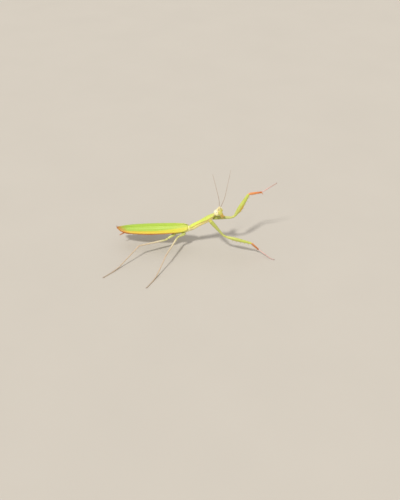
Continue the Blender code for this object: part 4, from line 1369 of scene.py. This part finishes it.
def make_grasping_legs():
    """Both forelegs: coxa, trochanter and femur in one skin, then tibia, foot, spines and claws."""
    femur_tint, tibia_tint, foot_tint = tint("femur"), tint("tibia"), tint("foot")
    # The coxa's share of these colours, up to 0.38, is a darker, greyer olive than the femur: painted shade
    # on the coxa.
    limb_skin = limb_paint("grasping_limb", (
        (0.0, shade(femur_tint, 0.9)), (0.38, (0.50, 0.53, 0.17)), (0.46, (0.55, 0.58, 0.15)),
        (0.85, femur_tint), (1.0, shade(femur_tint, 1.05))),
        joint=tint("yellow_edge"), patch=tint("femur_patch"), joint_range=(0.5, 0.95), joint_most=0.5)
    tibia_skin = limb_paint("grasping_tibia", (
        (0.0, (0.79, 0.34, 0.14)), (0.5, tibia_tint), (1.0, (0.56, 0.12, 0.035))),
        under=(0.80, 0.36, 0.12), joint=(0.70, 0.44, 0.16))
    foot_skin = limb_paint("grasping_foot", (
        (0.0, shade(foot_tint, 1.15)), (0.5, foot_tint), (1.0, shade(foot_tint, 0.8))),
        joint=shade(foot_tint, 0.55))
    femur_spines = spine_paint("femur_spine", (0.66, 0.56, 0.16))
    tibia_spines = spine_paint("tibia_spine", (0.62, 0.26, 0.08))
    claw_paint = spine_paint("fore_claw", (0.30, 0.14, 0.08))
    long_spine, short_spine = size("femur_spine"), size("tibia_spine")
    coxa, _, femur, tibia, tarsus = FORE_LENGTHS.values()
    for label, side in LEFT_RIGHT:
        ways = [heading(*way) for way in FORE_STANCES[label]]
        hinge = ways[2].cross(ways[3]).normalized()
        joint = SHIELD @ Vector((FORE_JOINT[0], side * FORE_JOINT[1], FORE_JOINT[2]))
        places, shells = {}, []
        for way, (part, (behind, past, *form)) in zip(ways, FORE_PARTS.items()):
            places[part] = frame_on(joint, way, hinge)
            shells.append(limb_rings(places[part], -behind, FORE_LENGTHS[part] + past, *form))
            joint = joint + way * FORE_LENGTHS[part]
        *upper, shin = shells
        make_piece(f"grasping_limb_{label}", upper, limb_skin, "grasping_femur", f"fore_coxa_{label}",
                   f"fore_trochanter_{label}", f"fore_femur_{label}")
        make_piece(f"grasping_tibia_{label}", [shin, hook_rings(places["tibia"], tibia)], tibia_skin,
                   "grasping_tibia", f"fore_tibia_{label}")

        rows = spine_rows(
            places["femur"], femur_spines,
            (3.0, femur - 1.3, 0.42, (1.15, 0.55), 15, long_spine, 0.45, 0.55),
            (3.6, femur - 1.6, -0.42, (1.15, 0.55), 5, long_spine * 1.05, 0.45, 1.0),
            (2.6, 5.4, 0.08, (0.95, 1.3), 4, long_spine * 1.1, 0.35, 0.8))
        back = frame_on(places["coxa"].translation, -ways[0], hinge)
        rows += spine_rows(back @ Matrix.Translation((-coxa, 0.0, 0.0)), femur_spines,
                           (1.4, coxa - 1.2, 0.12, (0.62, 0.92), 14, 0.28, -0.4, 0.6))
        settle(add_piece(f"femur_spines_{label}", merged(rows), femur_spines), "grasping_femur")
        rows = spine_rows(
            places["tibia"], tibia_spines,
            (1.2, tibia - 0.9, 0.26, (0.42, 0.28), 11, short_spine, 0.9, 0.85),
            (1.5, tibia - 1.0, -0.26, (0.42, 0.28), 8, short_spine, 0.9, 0.85))
        settle(add_piece(f"tibia_spines_{label}", merged(rows), tibia_spines), "grasping_tibia")

        azimuth, lift = FORE_STANCES[label][4]
        if lift:
            def point_at(share, joint=joint, way=ways[4]):
                return joint + way * tarsus * share
        else:
            point_at = foot_path(joint, azimuth, tarsus, FORE_LANDING)
        foot_side, tip = UP.cross(ways[4]).normalized(), point_at(1.0)
        make_piece(f"grasping_foot_{label}", foot_shells(point_at, foot_side), foot_skin, "slender_leg",
                   f"fore_tarsus_{label}", floor=0.0)
        make_piece(f"fore_claws_{label}", claw_shells(tip, (tip - point_at(0.9)).normalized(), foot_side),
                   claw_paint, "slender_leg", floor=0.0)


# ---------------------------------------------------------------- walking legs

HIP_OUT, HIP_DROP, HIP_SHARE = 1.35, -3.3, 0.74
WALKING_LANDING = 0.42
BRISTLE_WIDTH = 0.018
BRISTLE_SPREAD = 0.55
FIRST_SEED = 4
SPUR_LENGTH, SPUR_WIDTH = 0.75, 0.07
WALKING_PROFILES = {
    "coxa": ((0.0, 0.6, 0.6, 0.6), (4 / 15, 0.80, 0.78, 0.78), (0.8, 0.66, 0.64, 0.64),
             (1.0, 0.54, 0.54, 0.54)),
    "trochanter": ((0.0, 0.5, 0.5, 0.5), (0.5, 0.54, 0.56, 0.56), (1.0, 0.46, 0.46, 0.46)),
    "femur": ((0.0, 0.42, 0.42, 0.42), (0.15, 0.54, 0.56, 0.56), (0.6, 0.43, 0.43, 0.43),
              (0.93, 0.36, 0.37, 0.36), (0.97, 0.42, 0.46, 0.42), (1.0, 0.40, 0.42, 0.40)),
    "tibia": ((0.0, 0.30, 0.32, 0.32), (0.06, 0.34, 0.38, 0.36), (0.15, 0.30, 0.32, 0.31),
              (0.7, 0.28, 0.28, 0.28), (0.95, 0.31, 0.33, 0.33), (1.0, 0.28, 0.30, 0.30)),
}
# Each leg: pair, label, side, place along the thorax, lengths, and the aims of coxa and femur with
# the azimuths of tibia and foot.
WALKING_STANCES = (
    ("mid", "right", -1, -3.1, MID_LENGTHS, ((214, -8), (247, -8), 242, 241)),
    ("mid", "left", 1, -3.1, MID_LENGTHS, ((150, -19), (158, -6), 122, 168)),
    ("hind", "right", -1, -8.4, HIND_LENGTHS, ((203, -24), (206, 4), 221, 226)),
    ("hind", "left", 1, -8.4, HIND_LENGTHS, ((156, -22), (178, 4), 108, 166)),
)


def make_walking_legs():
    """The four slender legs, each in one skin from hip to foot, with claws, spurs and bristles."""
    tree, leg = bristle_tree(), tint("leg")
    paint = limb_paint("walking_leg", (
        (0.0, shade(tint("body"), 1.1)), (0.10, (0.62, 0.64, 0.24)), (0.22, (0.70, 0.62, 0.44)), (0.48, leg),
        (1.0, shade(leg, 0.72))), under=shade(leg, 1.25), joint=shade(leg, 0.6))
    bristle_paint = spine_paint("bristle", (0.56, 0.42, 0.28), (0.38, 0.24, 0.14))
    claw_paint = spine_paint("claw", (0.28, 0.14, 0.08))
    for number, (pair, label, side, attach, lengths, (*upper, shin_azimuth, foot_azimuth)) in enumerate(
            WALKING_STANCES):
        hip = TRUNK @ Vector((attach, side * HIP_OUT, HIP_DROP))
        coxa, femur, tibia, tarsus = lengths.values()
        knee = hip + heading(*upper[0]) * coxa + heading(*upper[1]) * femur
        shin = (shin_azimuth, -math.degrees(math.asin((knee.z - ANKLE_HEIGHT) / tibia)))
        places = [aim(hip, *upper[0]), aim(hip + heading(*upper[0]) * coxa, *upper[1]), aim(knee, *shin)]
        reach, bend = sum(lengths.values()), HIP_SHARE * coxa
        coxa_end, femur_end, tibia_end = coxa / reach, (coxa + femur) / reach, (coxa + femur + tibia) / reach
        point_at = foot_path(knee + heading(*shin) * tibia, foot_azimuth, tarsus, WALKING_LANDING)
        flat_way = heading(foot_azimuth, 0.0)
        side_way = UP.cross(flat_way)
        piece = make_piece(f"{pair}_leg_{label}", [
            limb_rings(places[0], -0.55, bend + 0.2, WALKING_PROFILES["coxa"], 24, 18, coxa_shape,
                       (0.0, HIP_SHARE * coxa_end)),
            limb_rings(places[0], bend - 0.25, coxa + 0.30, WALKING_PROFILES["trochanter"], 20, 10,
                       along=(HIP_SHARE * coxa_end, coxa_end)),
            limb_rings(places[1], -0.26, femur + 0.20, WALKING_PROFILES["femur"], 18, 44, slim_shape,
                       (coxa_end, femur_end)),
            limb_rings(places[2], -0.26, tibia + 0.20, WALKING_PROFILES["tibia"], 18, 44, slim_shape,
                       (femur_end, tibia_end)),
            *foot_shells(point_at, side_way, (tibia_end, 1.0))],
            paint, "slender_leg", *[f"{pair}_{part}_{label}" for part in lengths], floor=0.0)

        settings = bpy.context.scene.mantis_sizes
        hairs = grow(tree, piece.data.copy(), density=settings.bristle_density,
                     length=settings.bristle_length, width=BRISTLE_WIDTH * MM, spread=BRISTLE_SPREAD,
                     seed=FIRST_SEED + number, material=bristle_paint)
        spur_roots = [places[2] @ Vector((tibia - 0.25, across, -0.22)) for across in (-0.2, 0.2)]
        spurs = thorn_row(bristle_paint, spur_roots, places[2].to_3x3() @ Vector((1.0, 0.0, -0.45)),
                          len(spur_roots), SPUR_LENGTH, SPUR_WIDTH)
        both = merged([hairs, spurs])
        for vert in both.vertices:
            vert.co.z = max(vert.co.z, 0.0)
        settle(add_piece(f"{pair}_bristles_{label}", both, bristle_paint), "slender_leg")
        make_piece(f"{pair}_claws_{label}", claw_shells(point_at(1.0), flat_way, side_way), claw_paint,
                   "slender_leg", floor=0.0)


# ---------------------------------------------------------------- tail

def make_tail():
    """Cerci of many rings and the plate under them."""
    tail = tint("tail")
    paint = limb_paint("tail", ((0.0, (0.52, 0.40, 0.14)), (0.3, tail), (1.0, shade(tail, 0.85))),
                       joint=shade(tail, 0.7))
    for label, side in LEFT_RIGHT:
        points = [TRUNK @ Vector((TAIL_X + 0.25 - share * CERCUS_LENGTH, side * (0.85 + 1.1 * share),
                                  -1.6 - 1.3 * share ** 1.4)) for share in steps(0.0, 1.0, 16)]
        shells = bead_chain(points, ((0.0, 0.28), (0.3, 0.36), (0.7, 0.30), (1.0, 0.15)), 10, 16, 0.95, 0.7)
        make_piece(f"cercus_skin_{label}", shells, paint, "tail", f"cercus_{label}")
    plate = ((0.0, 0.85, 0.3, 0.5), (0.5, 0.75, 0.3, 0.45), (1.0, 0.38, 0.22, 0.26))
    place = TRUNK @ Matrix.Translation((TAIL_X + 0.4, 0.0, -2.35)) @ turned(180, "Z")
    make_piece("tail_plate", [limb_rings(place, 0.0, 2.55, plate, 28, 18, coxa_shape)], paint, "tail",
               "subgenital_plate")


# ---------------------------------------------------------------- stage

CAMERA_PLACE = (5.105, -272.238, 208.688)
CAMERA_TILT = 53.0
CAMERA_LENS = 45.29
SENSOR_WIDTH = 36.0
FLOOR_HALF = 2.0
FLOOR_DROP = 0.02
# Each lamp: where its light comes from, strength, spread in degrees and colour.
LAMPS = {"key": ((-0.33, -0.66, 1.0), 2.4, 6.0, (1.0, 0.97, 0.90)),
         "fill": ((-0.10, 0.35, 0.90), 0.2, 50.0, (0.96, 0.98, 1.0))}
SKY = (1.0, 0.955, 0.89)
SKY_STRENGTH = 0.64


def make_stage():
    """Floor, lights, sky and camera."""
    scene = bpy.context.scene
    bm = bmesh.new()
    bmesh.ops.create_grid(bm, x_segments=2, y_segments=2, size=FLOOR_HALF)
    floor = add_piece("floor", mesh_of(bm), floor_paint())
    floor.location.z = -FLOOR_DROP * MM

    for name, (source, strength, spread, tone) in LAMPS.items():
        lamp = bpy.data.lights.new(name, "SUN")
        lamp.energy, lamp.angle, lamp.color = strength, math.radians(spread), tone
        link(name, lamp).rotation_euler = Vector(source).to_track_quat("Z", "Y").to_euler()
    world = bpy.data.worlds.new("studio")
    world.use_nodes = True
    sky = world.node_tree.nodes["Background"].inputs
    sky["Color"].default_value, sky["Strength"].default_value = opaque(SKY), SKY_STRENGTH
    scene.world = world
    scene.view_settings.view_transform = "Standard"

    lens = bpy.data.cameras.new("camera")
    lens.lens, lens.sensor_width, lens.clip_start, lens.clip_end = CAMERA_LENS, SENSOR_WIDTH, 0.01, 10.0
    scene.camera = link("camera", lens)
    scene.camera.location = Vector(CAMERA_PLACE) * MM
    scene.camera.rotation_euler = (math.radians(CAMERA_TILT), 0.0, 0.0)


# ---------------------------------------------------------------- operators and panel

def made(*makers):
    """Make pieces in order and say that their operator finished."""
    for make in makers:
        make()
    return {"FINISHED"}


class MANTIS_OT_body(bpy.types.Operator):
    """Make the skin of neck, thorax and abdomen, and the shield behind the head"""
    bl_idname = "mantis.body"
    bl_label = "Body and shield"

    def execute(self, context):
        return made(make_body_skin, make_shield)


class MANTIS_OT_wings(bpy.types.Operator):
    """Make the forewings with their veins, and the folded hind wings"""
    bl_idname = "mantis.wings"
    bl_label = "Wings"

    def execute(self, context):
        return made(make_wings)


class MANTIS_OT_head(bpy.types.Operator):
    """Make the head capsule, eyes, mouthparts and feelers"""
    bl_idname = "mantis.head"
    bl_label = "Head"

    def execute(self, context):
        return made(make_head_capsule, make_eyes, make_mouthparts, make_antennae)


class MANTIS_OT_grasping_legs(bpy.types.Operator):
    """Make the two spined forelegs"""
    bl_idname = "mantis.grasping_legs"
    bl_label = "Grasping legs"

    def execute(self, context):
        return made(make_grasping_legs)


class MANTIS_OT_walking_legs(bpy.types.Operator):
    """Make the four walking legs with their bristles and claws"""
    bl_idname = "mantis.walking_legs"
    bl_label = "Walking legs"

    def execute(self, context):
        return made(make_walking_legs)


class MANTIS_OT_tail(bpy.types.Operator):
    """Make the cerci and the plate under them"""
    bl_idname = "mantis.tail"
    bl_label = "Tail"

    def execute(self, context):
        return made(make_tail)


class MANTIS_OT_stage(bpy.types.Operator):
    """Make the floor, the lights and the camera"""
    bl_idname = "mantis.stage"
    bl_label = "Stage"

    def execute(self, context):
        return made(make_stage)


OPERATORS = (MANTIS_OT_body, MANTIS_OT_wings, MANTIS_OT_head, MANTIS_OT_grasping_legs,
             MANTIS_OT_walking_legs, MANTIS_OT_tail, MANTIS_OT_stage)


class MANTIS_PT_panel(bpy.types.Panel):
    """Lists the sizes, the colours and the steps"""
    bl_label = "Praying mantis"
    bl_idname = "MANTIS_PT_panel"
    bl_space_type = "VIEW_3D"
    bl_region_type = "UI"
    bl_category = "Mantis"

    def draw(self, context):
        for group in (context.scene.mantis_sizes, context.scene.mantis_colours):
            box = self.layout.box()
            for name in group.bl_rna.properties.keys():
                if name not in ("rna_type", "name"):
                    box.prop(group, name)
        for operator in OPERATORS:
            self.layout.operator(operator.bl_idname)


CLASSES = (MantisSizes, MantisColours, *OPERATORS, MANTIS_PT_panel)


def register():
    for kind in CLASSES:
        bpy.utils.register_class(kind)
    bpy.types.Scene.mantis_sizes = PointerProperty(type=MantisSizes)
    bpy.types.Scene.mantis_colours = PointerProperty(type=MantisColours)


def unregister():
    del bpy.types.Scene.mantis_colours
    del bpy.types.Scene.mantis_sizes
    for kind in reversed(CLASSES):
        bpy.utils.unregister_class(kind)


def main():
    register()
    for operator in OPERATORS:
        area, name = operator.bl_idname.split(".")
        getattr(getattr(bpy.ops, area), name)()


if __name__ == "__main__":
    main()
